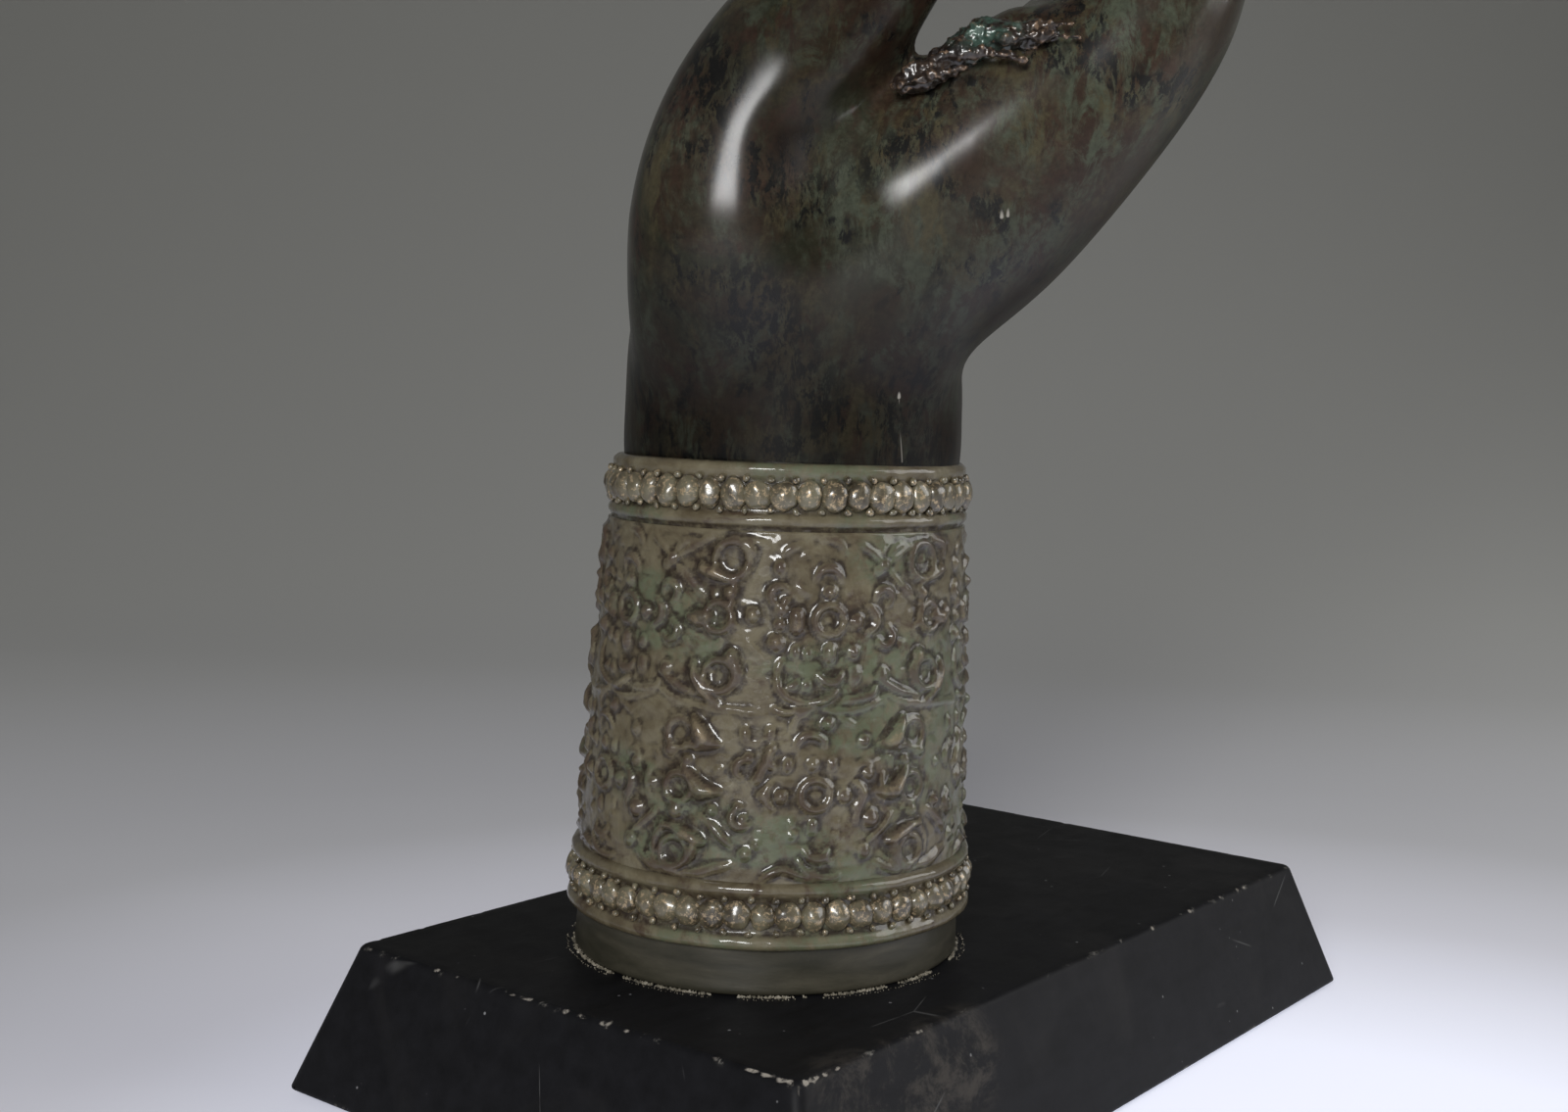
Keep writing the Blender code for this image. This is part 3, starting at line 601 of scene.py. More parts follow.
lump_finish, tree, shader = new_finish("raw_bronze")
place = object_point()
tone = noise(place, 260.0, 5.0, 0.65, 0.6, 2.0)
colour = ramp(tone, [
    (0.38, (0.007, 0.006, 0.006)), (0.54, (0.026, 0.017, 0.013)), (0.68, (0.070, 0.045, 0.029)),
])
hump = on_hand((26.0, -33.0, 69.0), (31.0, -33.0, 71.0), 6.0)
verdigris = times(hump, mask(noise(place, 300.0, 4.0, 0.6, 0.4, 5.0), 0.42, 0.54))
colour = blend(colour, (0.045, 0.080, 0.062), verdigris)
rubbed = mask(node("ShaderNodeNewGeometry").outputs["Pointiness"], 0.53, 0.60)
onto("Base Color", blend(colour, (0.30, 0.19, 0.115), times(rubbed, 0.5)))
all_over({"Roughness": 0.34, "Metallic": 0.3, "Coat Weight": 0.7, "Coat Roughness": 0.08})
of_the_casting(web_lump, lump_finish)


# The cuff's field: bronze cast from a wax sleeve with hand-pressed scrolls, medallions and rings in two
# tiers, washed brown, touched with verdigris, rubbed gold on its crests and varnished. The dark in its
# hollows and round each ornament is partly that brown wash and partly painted shade.
cuff_foot = 27.3
cuff_lean = 1.4
cuff_oval = 1.0
cuff_height = 85.0
sleeve_radius = 33.0
facing = math.radians(-142.2)
field_low, field_high = 17.8, 73.9
radius_low, radius_high = 34.4, 31.6
columns, row_rise = 576, 0.36


def on_cuff(angle, height, radius):
    """Points on the sleeve, which leans a little and is a little oval."""
    lean = cuff_lean * height / cuff_height
    x = casting_x + (radius + cuff_oval) * np.cos(angle) + to_back.x * lean
    y = (radius - cuff_oval) * np.sin(angle) + to_back.y * lean
    return np.stack([x, y, np.broadcast_to(height + cuff_foot, np.shape(x))], -1) * MM


def wandering(rng, across, up, cell_x, cell_z, width, rise):
    """Smooth noise between -1 and 1 on the unrolled sleeve, which meets itself round the back of the cuff."""
    cells_x = max(3, int(round(width / cell_x)))
    cells_z = int(rise / cell_z) + 3
    grid = rng.uniform(-1.0, 1.0, (cells_z, cells_x))
    x = (across / width % 1.0) * cells_x
    z = (up - up.min()) / cell_z
    i, j = np.floor(x).astype(int), np.floor(z).astype(int)
    fx, fz = x - i, z - j
    fx, fz = fx * fx * (3 - 2 * fx), fz * fz * (3 - 2 * fz)
    i0, i1 = i % cells_x, (i + 1) % cells_x
    low = grid[np.ix_(j, i0)] * (1 - fx) + grid[np.ix_(j, i1)] * fx
    high = grid[np.ix_(j + 1, i0)] * (1 - fx) + grid[np.ix_(j + 1, i1)] * fx
    return low * (1 - fz)[:, None] + high * fz[:, None]


angles = np.linspace(-math.pi, math.pi, columns, endpoint=False)
heights = np.arange(17.0, 75.3, row_rise)
relief = np.zeros((len(heights), columns))


class Tier:
    """One tier of ornament, drawn in millimetres round and up the sleeve, and repeated five times."""

    def __init__(self, crowding):
        self.unrolled = sleeve_radius * (angles + crowding * np.sin(angles)) / (1.0 + crowding)
        self.whole = 2.0 * math.pi * sleeve_radius / (1.0 + crowding)
        self.repeat = self.whole / 5
        self.mirror_about = None

    def press(self, points, shift):
        """A raised stroke through points (x, z, half width, height)."""
        points = points if len(points) > 1 else points * 2
        for (xa, za, wa, pa), (xb, zb, wb, pb) in zip(points, points[1:]):
            across = (self.unrolled - xa - shift + self.whole / 2) % self.whole - self.whole / 2
            reach = max(wa, wb) + 0.4
            low, high = min(0.0, xb - xa) - reach, max(0.0, xb - xa) + reach
            cols = np.nonzero((across > low) & (across < high))[0]
            rows = np.nonzero((heights > min(za, zb) - reach) & (heights < max(za, zb) + reach))[0]
            if not len(cols) or not len(rows):
                continue
            dx, dz = across[cols][None, :], (heights[rows] - za)[:, None]
            ex, ez = xb - xa, zb - za
            t = np.clip((dx * ex + dz * ez) / max(ex * ex + ez * ez, 1e-9), 0.0, 1.0)
            gap = np.hypot(dx - t * ex, dz - t * ez) / (wa + (wb - wa) * t)
            rise = (pa + (pb - pa) * t) * np.clip(1.0 - gap**2, 0.0, 1.0) ** 0.62
            window = np.ix_(rows, cols)
            relief[window] = np.maximum(relief[window], rise)

    def stroke(self, points):
        for fifth in range(5):
            drawn = list(points)
            if self.mirror_about is not None and fifth % 2:
                drawn = [(2 * self.mirror_about - x, z, w, p) for x, z, w, p in points]
            self.press(drawn, fifth * self.repeat)

    def bead(self, x, z, r, p, tall=1.0):
        half = r * (tall - 1.0)
        self.stroke([(x, z - half, r, p), (x, z + half, r, p)])

    def arc(self, x, z, r, start, end, w, p, blunt=False):
        made = []
        for step in range(13):
            t = step / 12
            angle = math.radians(start + (end - start) * t)
            thin = 1.0 if blunt else 0.35 + 0.65 * math.sin(math.pi * t)
            made.append((x + r * math.cos(angle), z + r * math.sin(angle), w * thin, p * (0.5 + 0.5 * thin)))
        self.stroke(made)

    def ring(self, x, z, r, w, p):
        self.arc(x, z, r, 0.0, 360.0, w, p, blunt=True)

    def curve(self, points, w, p):
        rows = smooth_stations([(x, z, 0.0) for x, z in points], 4)
        made = []
        for n, (x, z, _) in enumerate(rows):
            thin = 0.4 + 0.6 * math.sin(math.pi * n / (len(rows) - 1))
            made.append((x, z, w * thin, p * (0.5 + 0.5 * thin)))
        self.stroke(made)


upper = Tier(0.10)
upper.ring(8.65, 61.0, 2.45, 0.55, 0.95)
for x, z, r, start, end, w, p in (
    (8.3, 67.3, 2.1, 5, 175, 0.8, 0.95), (9.2, 52.9, 2.0, 195, 345, 0.8, 0.95),
    (15.0, 61.0, 2.1, -80, 80, 0.8, 1.05), (0.2, 64.9, 1.5, 30, 290, 0.7, 1.0),
    (18.4, 64.5, 1.5, -60, 200, 0.65, 0.9), (18.9, 58.2, 1.5, -160, 80, 0.7, 1.0),
    (8.2, 71.2, 2.9, 15, 120, 0.55, 0.65),
):
    upper.arc(x, z, r, start, end, w, p)
for x, z, r, p, tall in (
    (8.6, 65.5, 1.15, 1.05, 1.0), (8.9, 55.7, 1.1, 1.0, 1.6), (13.3, 60.8, 1.25, 1.0, 1.0),
    (3.2, 60.8, 1.35, 1.15, 1.7), (0.6, 62.6, 1.15, 0.95, 1.0), (0.5, 60.2, 1.1, 0.95, 1.0),
    (1.2, 64.1, 0.7, 0.65, 1.0), (0.0, 57.3, 1.5, 1.15, 1.0), (3.2, 56.0, 0.75, 0.75, 1.3),
    (5.2, 55.6, 0.7, 0.65, 1.3), (13.0, 55.8, 0.85, 0.85, 1.2), (11.9, 65.6, 0.5, 0.4, 1.0),
    (0.0, 69.3, 0.95, 0.85, 1.2), (17.3, 69.0, 0.9, 0.6, 1.0), (5.2, 50.6, 0.8, 0.7, 1.0),
    (13.3, 52.2, 1.1, 0.6, 1.4), (18.6, 52.0, 1.2, 0.75, 1.0), (-4.1, 61.6, 1.2, 1.1, 1.1),
    (-19.4, 69.8, 1.05, 0.95, 1.0), (-9.3, 57.3, 0.5, 0.4, 1.0), (-11.0, 64.4, 0.5, 0.55, 1.0),
):
    upper.bead(x, z, r, p, tall)
for points, w, p in (
    ([(3.2, 66.6), (4.0, 65.8), (5.0, 65.3)], 0.45, 0.5),
    ([(0.4, 71.3), (1.6, 72.4), (3.4, 73.2)], 0.45, 0.55),
    ([(3.6, 70.8), (4.5, 71.6), (5.3, 71.2)], 0.45, 0.4),
    ([(1.0, 54.6), (0.3, 52.4), (0.9, 49.8), (3.0, 48.2), (5.6, 47.7)], 0.6, 0.8),
    ([(5.8, 47.6), (8.2, 48.2), (10.3, 49.6)], 0.75, 1.1),
    ([(11.6, 48.1), (14.2, 48.3), (16.8, 48.9), (17.4, 50.2)], 0.55, 0.7),
    ([(1.9, 50.2), (3.2, 50.6), (3.8, 51.4)], 0.6, 0.75),
    ([(-20.3, 51.6), (-18.5, 50.6), (-15.3, 49.0), (-11.0, 47.9)], 0.6, 0.8),
    ([(-24.0, 73.4), (-21.5, 71.8), (-19.9, 70.3)], 0.5, 0.6),
    ([(-18.4, 70.3), (-14.8, 72.4), (-11.8, 73.9)], 0.42, 0.55),
    ([(-18.6, 69.2), (-15.5, 66.4), (-12.4, 63.9)], 0.42, 0.55),
    ([(-16.4, 57.6), (-14.9, 56.2)], 0.35, 0.35),
    ([(-5.2, 57.6), (-3.9, 56.6), (-2.6, 55.2)], 0.45, 0.4),
    ([(-9.6, 74.2), (-6.8, 74.3), (-4.3, 73.5), (-2.2, 72.9)], 0.45, 0.65),
    ([(-7.9, 73.8), (-5.2, 72.8), (-4.3, 71.0)], 0.65, 1.0),
    ([(18.9, 71.0), (20.6, 72.6), (23.0, 73.3)], 0.5, 0.5),
):
    upper.curve(points, w, p)

# Every second medallion of the upper tier is turned over, left for right.
upper.mirror_about = -9.5
for x, z, r, w, p in (
    (-8.1, 70.3, 3.0, 0.6, 0.95), (-9.9, 61.0, 2.4, 0.55, 0.95), (-9.2, 51.6, 2.6, 0.55, 0.95),
):
    upper.ring(x, z, r, w, p)
for points in (
    [(-13.2, 68.7, 1.0, 1.2), (-11.2, 68.1, 1.15, 1.3), (-9.0, 67.3, 0.8, 1.1), (-7.6, 66.8, 0.6, 0.9),
     (-7.1, 65.6, 0.35, 0.6)],
    [(-14.9, 60.6, 0.9, 0.9), (-13.3, 60.6, 1.5, 1.4), (-11.9, 61.0, 1.2, 1.2)],
    [(-13.8, 53.2, 0.6, 0.9), (-13.3, 51.2, 1.1, 1.3), (-12.0, 49.4, 1.1, 1.3), (-10.4, 47.8, 0.8, 1.0),
     (-9.2, 47.1, 0.4, 0.6)],
    [(-6.9, 54.2, 0.9, 1.0), (-5.9, 52.4, 0.7, 0.9), (-6.2, 50.6, 0.5, 0.8), (-7.6, 49.2, 0.4, 0.7)],
):
    upper.stroke(points)
upper.bead(-8.1, 65.0, 1.15, 1.2)
upper.bead(-7.3, 54.8, 1.25, 1.2)
upper.curve([(-8.0, 64.3), (-7.7, 63.5), (-7.6, 62.9)], 0.6, 0.9)
upper.curve([(-7.6, 60.5), (-7.0, 60.0), (-6.6, 59.6)], 0.45, 0.6)

lower = Tier(0.035)
lower.ring(7.45, 32.85, 2.5, 0.5, 0.9)
for x, z, r, start, end, w, p in (
    (6.4, 40.2, 2.45, 10, 178, 0.6, 0.9), (8.0, 24.2, 1.8, 185, 355, 0.8, 0.9),
    (13.3, 32.6, 2.2, -70, 70, 0.8, 1.0), (15.6, 36.4, 1.5, 30, 165, 0.45, 0.6),
    (16.6, 28.9, 2.1, 105, 205, 0.45, 0.65), (5.4, 43.9, 2.1, 80, 205, 0.5, 0.7),
    (-3.9, 36.8, 1.6, 65, 255, 0.65, 0.9), (-4.2, 29.0, 1.6, 95, 320, 0.7, 1.0),
    (9.6, 21.2, 1.0, 10, 200, 0.45, 0.55),
):
    lower.arc(x, z, r, start, end, w, p)
for x, z, r, p, tall in (
    (6.8, 37.8, 0.85, 0.85, 1.2), (2.8, 37.7, 0.6, 0.75, 1.8), (10.0, 37.8, 0.65, 0.75, 1.6),
    (7.1, 27.6, 0.65, 0.8, 2.0), (3.7, 28.3, 0.45, 0.55, 1.5), (4.0, 26.3, 0.55, 0.6, 1.3),
    (11.0, 28.1, 0.38, 0.45, 1.9), (11.0, 26.3, 0.5, 0.5, 1.0), (12.2, 32.5, 1.25, 0.95, 1.0),
    (1.9, 32.6, 1.1, 1.05, 1.1), (16.2, 36.1, 1.1, 0.95, 1.0), (16.9, 28.6, 1.5, 1.05, 1.0),
    (9.1, 44.4, 1.1, 1.1, 1.0), (15.4, 41.4, 1.0, 0.85, 1.0), (-3.5, 38.7, 0.85, 0.95, 1.0),
    (-4.0, 28.8, 0.8, 0.75, 1.0), (-4.9, 30.8, 0.6, 0.85, 1.0), (-4.2, 42.4, 0.6, 0.7, 2.2),
    (-0.3, 42.7, 0.55, 0.7, 2.2), (-3.3, 23.2, 1.1, 0.75, 1.0), (-1.6, 24.7, 0.7, 0.55, 1.0),
    (-20.1, 33.2, 0.85, 0.8, 1.0), (-8.3, 36.4, 0.65, 0.65, 1.0), (16.0, 23.3, 1.0, 0.8, 1.2),
    (-9.1, 29.9, 0.95, 1.15, 1.0),
):
    lower.bead(x, z, r, p, tall)
lower.stroke([(0.1, 34.6, 0.5, 0.7), (-0.9, 32.8, 1.0, 1.0), (0.5, 30.7, 0.55, 0.7)])
lower.stroke([(0.0, 40.2, 0.85, 1.1), (-0.5, 38.4, 0.8, 0.9), (0.4, 37.3, 0.5, 0.6)])
lower.stroke([(-1.0, 37.6, 0.8, 0.9), (-2.0, 35.2, 0.75, 0.9)])
for points, w, p in (
    ([(0.0, 46.8), (1.6, 46.2), (3.6, 46.4), (6.8, 46.9)], 0.6, 0.9),
    ([(-20.5, 48.8), (-17.0, 47.4), (-12.0, 46.6), (-6.0, 46.2), (-1.0, 45.8)], 0.5, 0.5),
    ([(7.4, 47.0), (11.0, 46.2), (15.0, 46.8), (19.0, 47.9)], 0.45, 0.5),
    ([(-20.3, 21.9), (-18.0, 20.4), (-15.3, 19.2), (-13.4, 19.3)], 0.5, 0.7),
    ([(-19.8, 23.2), (-19.0, 22.5), (-18.0, 22.0)], 0.4, 0.5),
    ([(-13.1, 19.6), (-10.5, 19.7), (-7.4, 20.8), (-5.4, 21.4)], 0.85, 0.6),
    ([(-10.8, 29.0), (-8.6, 27.2), (-7.0, 25.6), (-5.6, 24.2)], 0.7, 0.8),
    ([(-23.6, 24.8), (-21.0, 26.9), (-19.0, 29.0)], 0.5, 0.65),
    ([(-0.6, 18.9), (0.4, 20.0), (2.6, 20.9), (5.0, 20.1), (7.6, 19.0)], 0.6, 1.0),
    ([(5.2, 22.4), (6.2, 20.9), (8.2, 19.7), (10.4, 19.3), (12.0, 19.9)], 0.6, 0.9),
    ([(18.0, 21.5), (20.4, 20.1), (23.0, 19.0)], 0.55, 0.7),
    ([(10.0, 45.5), (12.2, 44.9), (13.6, 44.0)], 0.4, 0.45),
    ([(19.6, 38.9), (20.6, 38.0), (20.9, 36.8)], 0.4, 0.45),
    ([(-20.8, 35.8), (-21.2, 33.6), (-20.6, 30.9)], 0.55, 0.7),
):
    lower.curve(points, w, p)

# Every second medallion of the lower tier is turned over too.
lower.mirror_about = -15.1
for x, z, r, w, p in (
    (-15.4, 41.8, 2.45, 0.45, 0.7), (-15.1, 33.0, 2.4, 0.5, 0.9), (-15.1, 22.6, 2.5, 0.5, 0.9),
):
    lower.ring(x, z, r, w, p)
for points in (
    [(-13.1, 44.7, 0.45, 1.1), (-11.9, 42.8, 1.3, 1.6), (-11.2, 41.4, 1.6, 1.6), (-9.8, 40.8, 1.0, 1.1),
     (-8.4, 40.5, 0.35, 0.7)],
    [(-14.2, 40.1, 0.5, 0.7), (-12.2, 39.9, 0.7, 0.9), (-9.2, 40.1, 0.4, 0.6)],
    [(-13.8, 36.1, 0.6, 1.0), (-12.4, 34.4, 1.2, 1.5), (-11.2, 33.0, 1.7, 1.6), (-9.6, 32.9, 1.2, 1.3),
     (-8.0, 33.0, 0.5, 0.8)],
    [(-17.4, 26.8, 0.6, 1.0), (-15.4, 26.7, 0.8, 1.2), (-13.4, 25.9, 1.1, 1.4), (-11.4, 25.0, 1.0, 1.4),
     (-10.4, 24.6, 0.6, 1.0)],
    [(-11.4, 24.6, 0.9, 1.1), (-12.0, 22.4, 0.8, 0.9), (-12.5, 21.0, 0.3, 0.6)],
):
    lower.stroke(points)
for x, z, r, p in (
    (-16.8, 39.0, 1.2, 0.95), (-13.7, 37.7, 0.85, 0.95), (-15.3, 29.3, 1.4, 1.05), (-13.5, 29.9, 0.5, 0.6),
):
    lower.bead(x, z, r, p)
lower.curve([(-14.9, 36.9), (-14.2, 36.5), (-13.6, 36.2)], 0.5, 0.7)
lower.arc(-15.1, 23.0, 3.9, 105, 205, 0.5, 0.75)


def softened(field, passes):
    """Blurs a field on the sleeve, as thick varnish and old wax soften cast relief."""
    for _ in range(passes):
        round_it = (np.roll(field, 1, 1) + 2.0 * field + np.roll(field, -1, 1)) / 4.0
        padded = np.pad(round_it, ((1, 1), (0, 0)), "edge")
        field = (padded[:-2] + 2.0 * padded[1:-1] + padded[2:]) / 4.0
    return field


# The wax's lumps, and relief that thick varnish has softened.
cuff_rng = np.random.default_rng(5)
girth = 2.0 * math.pi * sleeve_radius
unrolled = sleeve_radius * angles
lumps = 0.0
for cell_x, cell_z, swing in ((7.0, 7.0, 0.16), (2.6, 2.2, 0.10), (1.2, 0.8, 0.06)):
    lumps = lumps + wandering(cuff_rng, unrolled, heights, cell_x, cell_z, girth, 60.0) * swing
crisp = softened(relief, 1)
pillowed = softened(relief, 20)
proud = 1.02 * crisp + 0.12 * pillowed + lumps
fade = np.clip((heights - 18.0) / 1.2, 0.0, 1.0) * np.clip((74.6 - heights) / 1.2, 0.0, 1.0)
proud *= fade[:, None]
side = radius_low + (radius_high - radius_low) * (heights - field_low) / (field_high - field_low)


def sleeve_piece(name, heights, radii, wall=3.0):
    """A closed tube whose outer side is the given grid of radii, with a plain inner side."""
    rows, columns = radii.shape
    turn = angles_for(columns)
    outer = on_cuff(turn[None, :], heights[:, None], radii)
    inner = on_cuff(turn[None, :], heights[[-1, 0], None], np.repeat(radii.min() - wall, 2)[:, None])
    points = np.concatenate([outer, inner]).reshape(-1, 3)
    ring = np.arange(columns)
    after = (ring + 1) % columns
    faces = []
    for row in range(rows + 2):
        low, high = row * columns, (row + 1) % (rows + 2) * columns
        faces.append(np.stack([low + ring, low + after, high + after, high + ring], -1))
    faces = np.concatenate(faces)
    mesh = bpy.data.meshes.new(name)
    mesh.from_pydata(points.tolist(), [], faces.tolist())
    made = bpy.data.objects.new(name, mesh)
    scene.collection.objects.link(made)
    return shade_smooth(made)


def angles_for(columns):
    return facing + np.linspace(-math.pi, math.pi, columns, endpoint=False)


def mark(piece, name, values):
    """Stores a number for each point of the outer side, for the material to read."""
    layer = piece.data.attributes.new(name, "FLOAT", "POINT")
    full = np.zeros(len(piece.data.vertices), dtype=np.float32)
    full[: values.size] = values.ravel()
    layer.data.foreach_set("value", full)


cuff_field = sleeve_piece("cuff_field", heights, side[:, None] + proud)
mark(cuff_field, "crest", np.clip(crisp / 1.1, 0.0, 1.0))
# Where the hollows and the ground round each ornament are darkened: partly a brown wash, partly painted
# shade.
mark(cuff_field, "hollow_wash_and_shade", np.clip((softened(proud, 8) - proud) / 0.12, 0.0, 1.0))
patches = wandering(cuff_rng, unrolled, heights, 13.0, 9.0, girth, 60.0)
for x, z, wide, tall, strength in (
    (-12.0, 27.0, 6.0, 3.5, 1.3), (4.0, 22.5, 9.0, 3.5, 0.9), (12.0, 27.0, 7.0, 4.0, 0.6),
    (16.0, 46.0, 7.0, 8.0, 0.9), (-24.0, 62.0, 5.0, 9.0, 0.9), (6.0, 53.0, 5.0, 3.0, 0.6),
    (17.0, 70.0, 6.0, 5.0, 0.7), (-22.0, 22.0, 6.0, 3.0, 1.0), (-5.0, 45.0, 9.0, 6.0, -1.2),
    (-2.0, 62.0, 7.0, 8.0, -0.6), (-17.0, 44.0, 9.0, 8.0, -0.9), (31.0, 24.0, 5.0, 6.0, -1.0),
):
    across = np.exp(-(((unrolled - x) / wide) ** 2))
    upward = np.exp(-(((heights - z) / tall) ** 2))
    patches = patches + strength * np.outer(upward, across)
mark(cuff_field, "verdigris", np.clip(0.5 + 0.5 * patches, 0.0, 1.0))

field_finish, tree, shader = new_finish("cuff_bronze")
place = object_point()
crest, hollow_wash_and_shade, green = (
    node("ShaderNodeAttribute", attribute_name=name).outputs["Fac"]
    for name in ("crest", "hollow_wash_and_shade", "verdigris")
)
mottle = noise(place, 150.0, 6.0, 0.65, 0.8, 3.0)
colour = ramp(mottle, [
    (0.36, (0.068, 0.053, 0.031)), (0.50, (0.104, 0.087, 0.054)), (0.64, (0.136, 0.119, 0.077)),
])
ragged = calculate("ADD", green, times(noise(place, 240.0, 6.0, 0.7, 0.6, 9.0), 0.9))
speckled = times(mask(noise(place, 480.0, 6.0, 0.75, 0.4, 41.0), 0.34, 0.58), 0.72)
colour = blend(colour, (0.082, 0.103, 0.062), times(mask(ragged, 0.98, 1.30), speckled))
fine = noise(place, 620.0, 5.0, 0.7, 0.2, 13.0)
stains = mask(noise(place, 95.0, 5.0, 0.68, 1.2, 17.0), 0.52, 0.64)
colour = blend(colour, (0.052, 0.035, 0.022), times(stains, mask(fine, 0.30, 0.60)))
brown = times(mask(crest, 0.12, 0.5), mask(noise(place, 170.0, 5.0, 0.7, 0.8, 37.0), 0.38, 0.54))
colour = blend(colour, (0.050, 0.033, 0.024), times(brown, 0.75))
# The dark in the hollows: partly the brown wash, partly painted shade.
wash_and_shade = times(mask(hollow_wash_and_shade, 0.15, 0.85), mask(fine, 0.25, 0.6))
colour = blend(colour, (0.016, 0.010, 0.007), times(wash_and_shade, 0.92))
gold = times(mask(crest, 0.72, 1.0), mask(noise(place, 330.0, 5.0, 0.7, 0.3, 23.0), 0.47, 0.60))
onto("Base Color", blend(colour, (0.240, 0.190, 0.120), times(gold, 0.5)))
onto("Metallic", times(gold, 0.35))
onto("Roughness", varied(noise(place, 180.0, 4.0, 0.6, 0.2, 27.0), 0.30, 0.58))
onto("Coat Weight", times(mask(noise(place, 210.0, 5.0, 0.7, 0.3, 43.0), 0.34, 0.54), 0.8))
all_over({"Specular IOR Level": 0.2, "Coat Roughness": 0.07})
bump(noise(place, 640.0, 6.0, 0.66, 0.2, 31.0), 0.22, 0.8)
of_the_casting(cuff_field, field_finish)


# The cuff's two bands: a smooth lip above and below a row of beads, with a groove under the upper one. Their
# groove, recesses and the underside of the lower lip are darkened, partly a brown wash and partly painted
# shade.
# They are of the same bronze and varnish as the field, and cast with it.
def band(name, profile, seed):
    """A band's side turned from (height, radius, darkness) corners, a little uneven as filed wax is. The
    darkness is partly a brown wash and partly painted shade in its recesses and under its lips.
    """
    rise, columns = 0.25, 480
    corners = np.array(profile)
    heights = np.arange(corners[0, 0], corners[-1, 0] + rise / 2, rise)
    radii = np.interp(heights, corners[:, 0], corners[:, 1])
    for _ in range(3):
        radii[1:-1] = (radii[:-2] + 2.0 * radii[1:-1] + radii[2:]) / 4.0
    turn = np.linspace(-math.pi, math.pi, columns, endpoint=False) * sleeve_radius
    rng = np.random.default_rng(seed)
    tall = heights[-1] - heights[0]
    uneven = 0.0
    for cell_x, cell_z, swing in ((9.0, 20.0, 0.14), (2.4, 1.6, 0.07), (0.9, 0.8, 0.03)):
        uneven = uneven + wandering(rng, turn, heights, cell_x, cell_z, girth, tall) * swing
    made = sleeve_piece(name, heights, radii[:, None] + uneven)
    # Painted shade, partly a brown wash, in the band's recesses and under its lips.
    recess_wash_and_shade = np.interp(heights, corners[:, 0], corners[:, 2])[:, None] + uneven * 1.5
    mark(made, "hollow_wash_and_shade", np.clip(recess_wash_and_shade, 0.0, 1.0))
    mark(made, "crest", np.zeros_like(recess_wash_and_shade))
    patches = wandering(rng, turn, heights, 14.0, 12.0, girth, tall)
    mark(made, "verdigris", np.clip(0.5 + 0.5 * patches, 0.0, 1.0))
    of_the_casting(made, field_finish)


band("lower_band", [
    (7.3, 34.0, 1.0), (7.4, 35.3, 0.6), (8.4, 36.0, 0.1), (9.6, 35.8, 0.0), (10.3, 34.9, 0.8),
    (15.2, 34.5, 0.8), (16.2, 34.8, 0.6), (16.9, 35.6, 0.0), (18.2, 35.4, 0.0), (18.7, 34.6, 0.5),
    (18.8, 33.6, 0.8),
], 21)
band("upper_band", [
    (73.9, 31.2, 0.7), (74.4, 31.0, 1.0), (75.6, 31.0, 1.0), (76.1, 31.7, 0.2), (77.2, 31.7, 0.0),
    (77.8, 30.8, 0.7), (83.3, 30.7, 0.7), (83.9, 31.1, 0.1), (85.0, 31.2, 0.0), (85.6, 30.9, 0.1),
    (85.8, 30.2, 0.6),
], 22)


# The beads of the two bands: pressed into the wax one by one, large ones with small ones in the gaps between
# them, their tops rubbed back to gold.
def new_row(name, inputs):
    """Starts the tree of a row of small pieces. Its inputs are given as (label, kind, value)."""
    global tree
    tree = bpy.data.node_groups.new(name, "GeometryNodeTree")
    tree.interface.new_socket("Geometry", in_out="OUTPUT", socket_type="NodeSocketGeometry")
    settings = {}
    for label, kind, value in inputs:
        socket = tree.interface.new_socket(label, in_out="INPUT", socket_type="NodeSocket" + kind)
        settings[socket.identifier] = value
    return node("NodeGroupInput").outputs, settings


def random_way(low, high, seed):
    return node("FunctionNodeRandomValue", {0: low, 1: high, "Seed": seed}, data_type="FLOAT_VECTOR")


def scaled(way, by):
    return node("ShaderNodeVectorMath", {0: way, "Scale": by}, operation="SCALE")


def planted(points, piece, turn, size):
    fed = {"Points": points, "Instance": piece, "Rotation": turn, "Scale": size}
    return node("GeometryNodeRealizeInstances", {0: node("GeometryNodeInstanceOnPoints", fed)})


def row_piece(name, geometry, finish, settings, lean):
    """Ends the tree, turns the row into a plain mesh, and moves it onto the oval, leaning sleeve."""
    node("NodeGroupOutput", {0: node("GeometryNodeSetMaterial", {"Geometry": geometry, "Material": finish})})
    made = piece_from(name, bmesh.new())
    row = made.modifiers.new("row", "NODES")
    row.node_group = tree
    for identifier, value in settings.items():
        row[identifier] = value
    settle(made)
    points = np.empty(len(made.data.vertices) * 3, dtype=np.float32)
    made.data.vertices.foreach_get("co", points)
    points = points.reshape(-1, 3)
    turn_there = np.arctan2(points[:, 1], points[:, 0])
    points[:, 0] += (casting_x + to_back.x * lean + cuff_oval * np.cos(turn_there)) * MM
    points[:, 1] += (to_back.y * lean - cuff_oval * np.sin(turn_there)) * MM
    made.data.vertices.foreach_set("co", points.ravel())
    made.data.update()
    return made


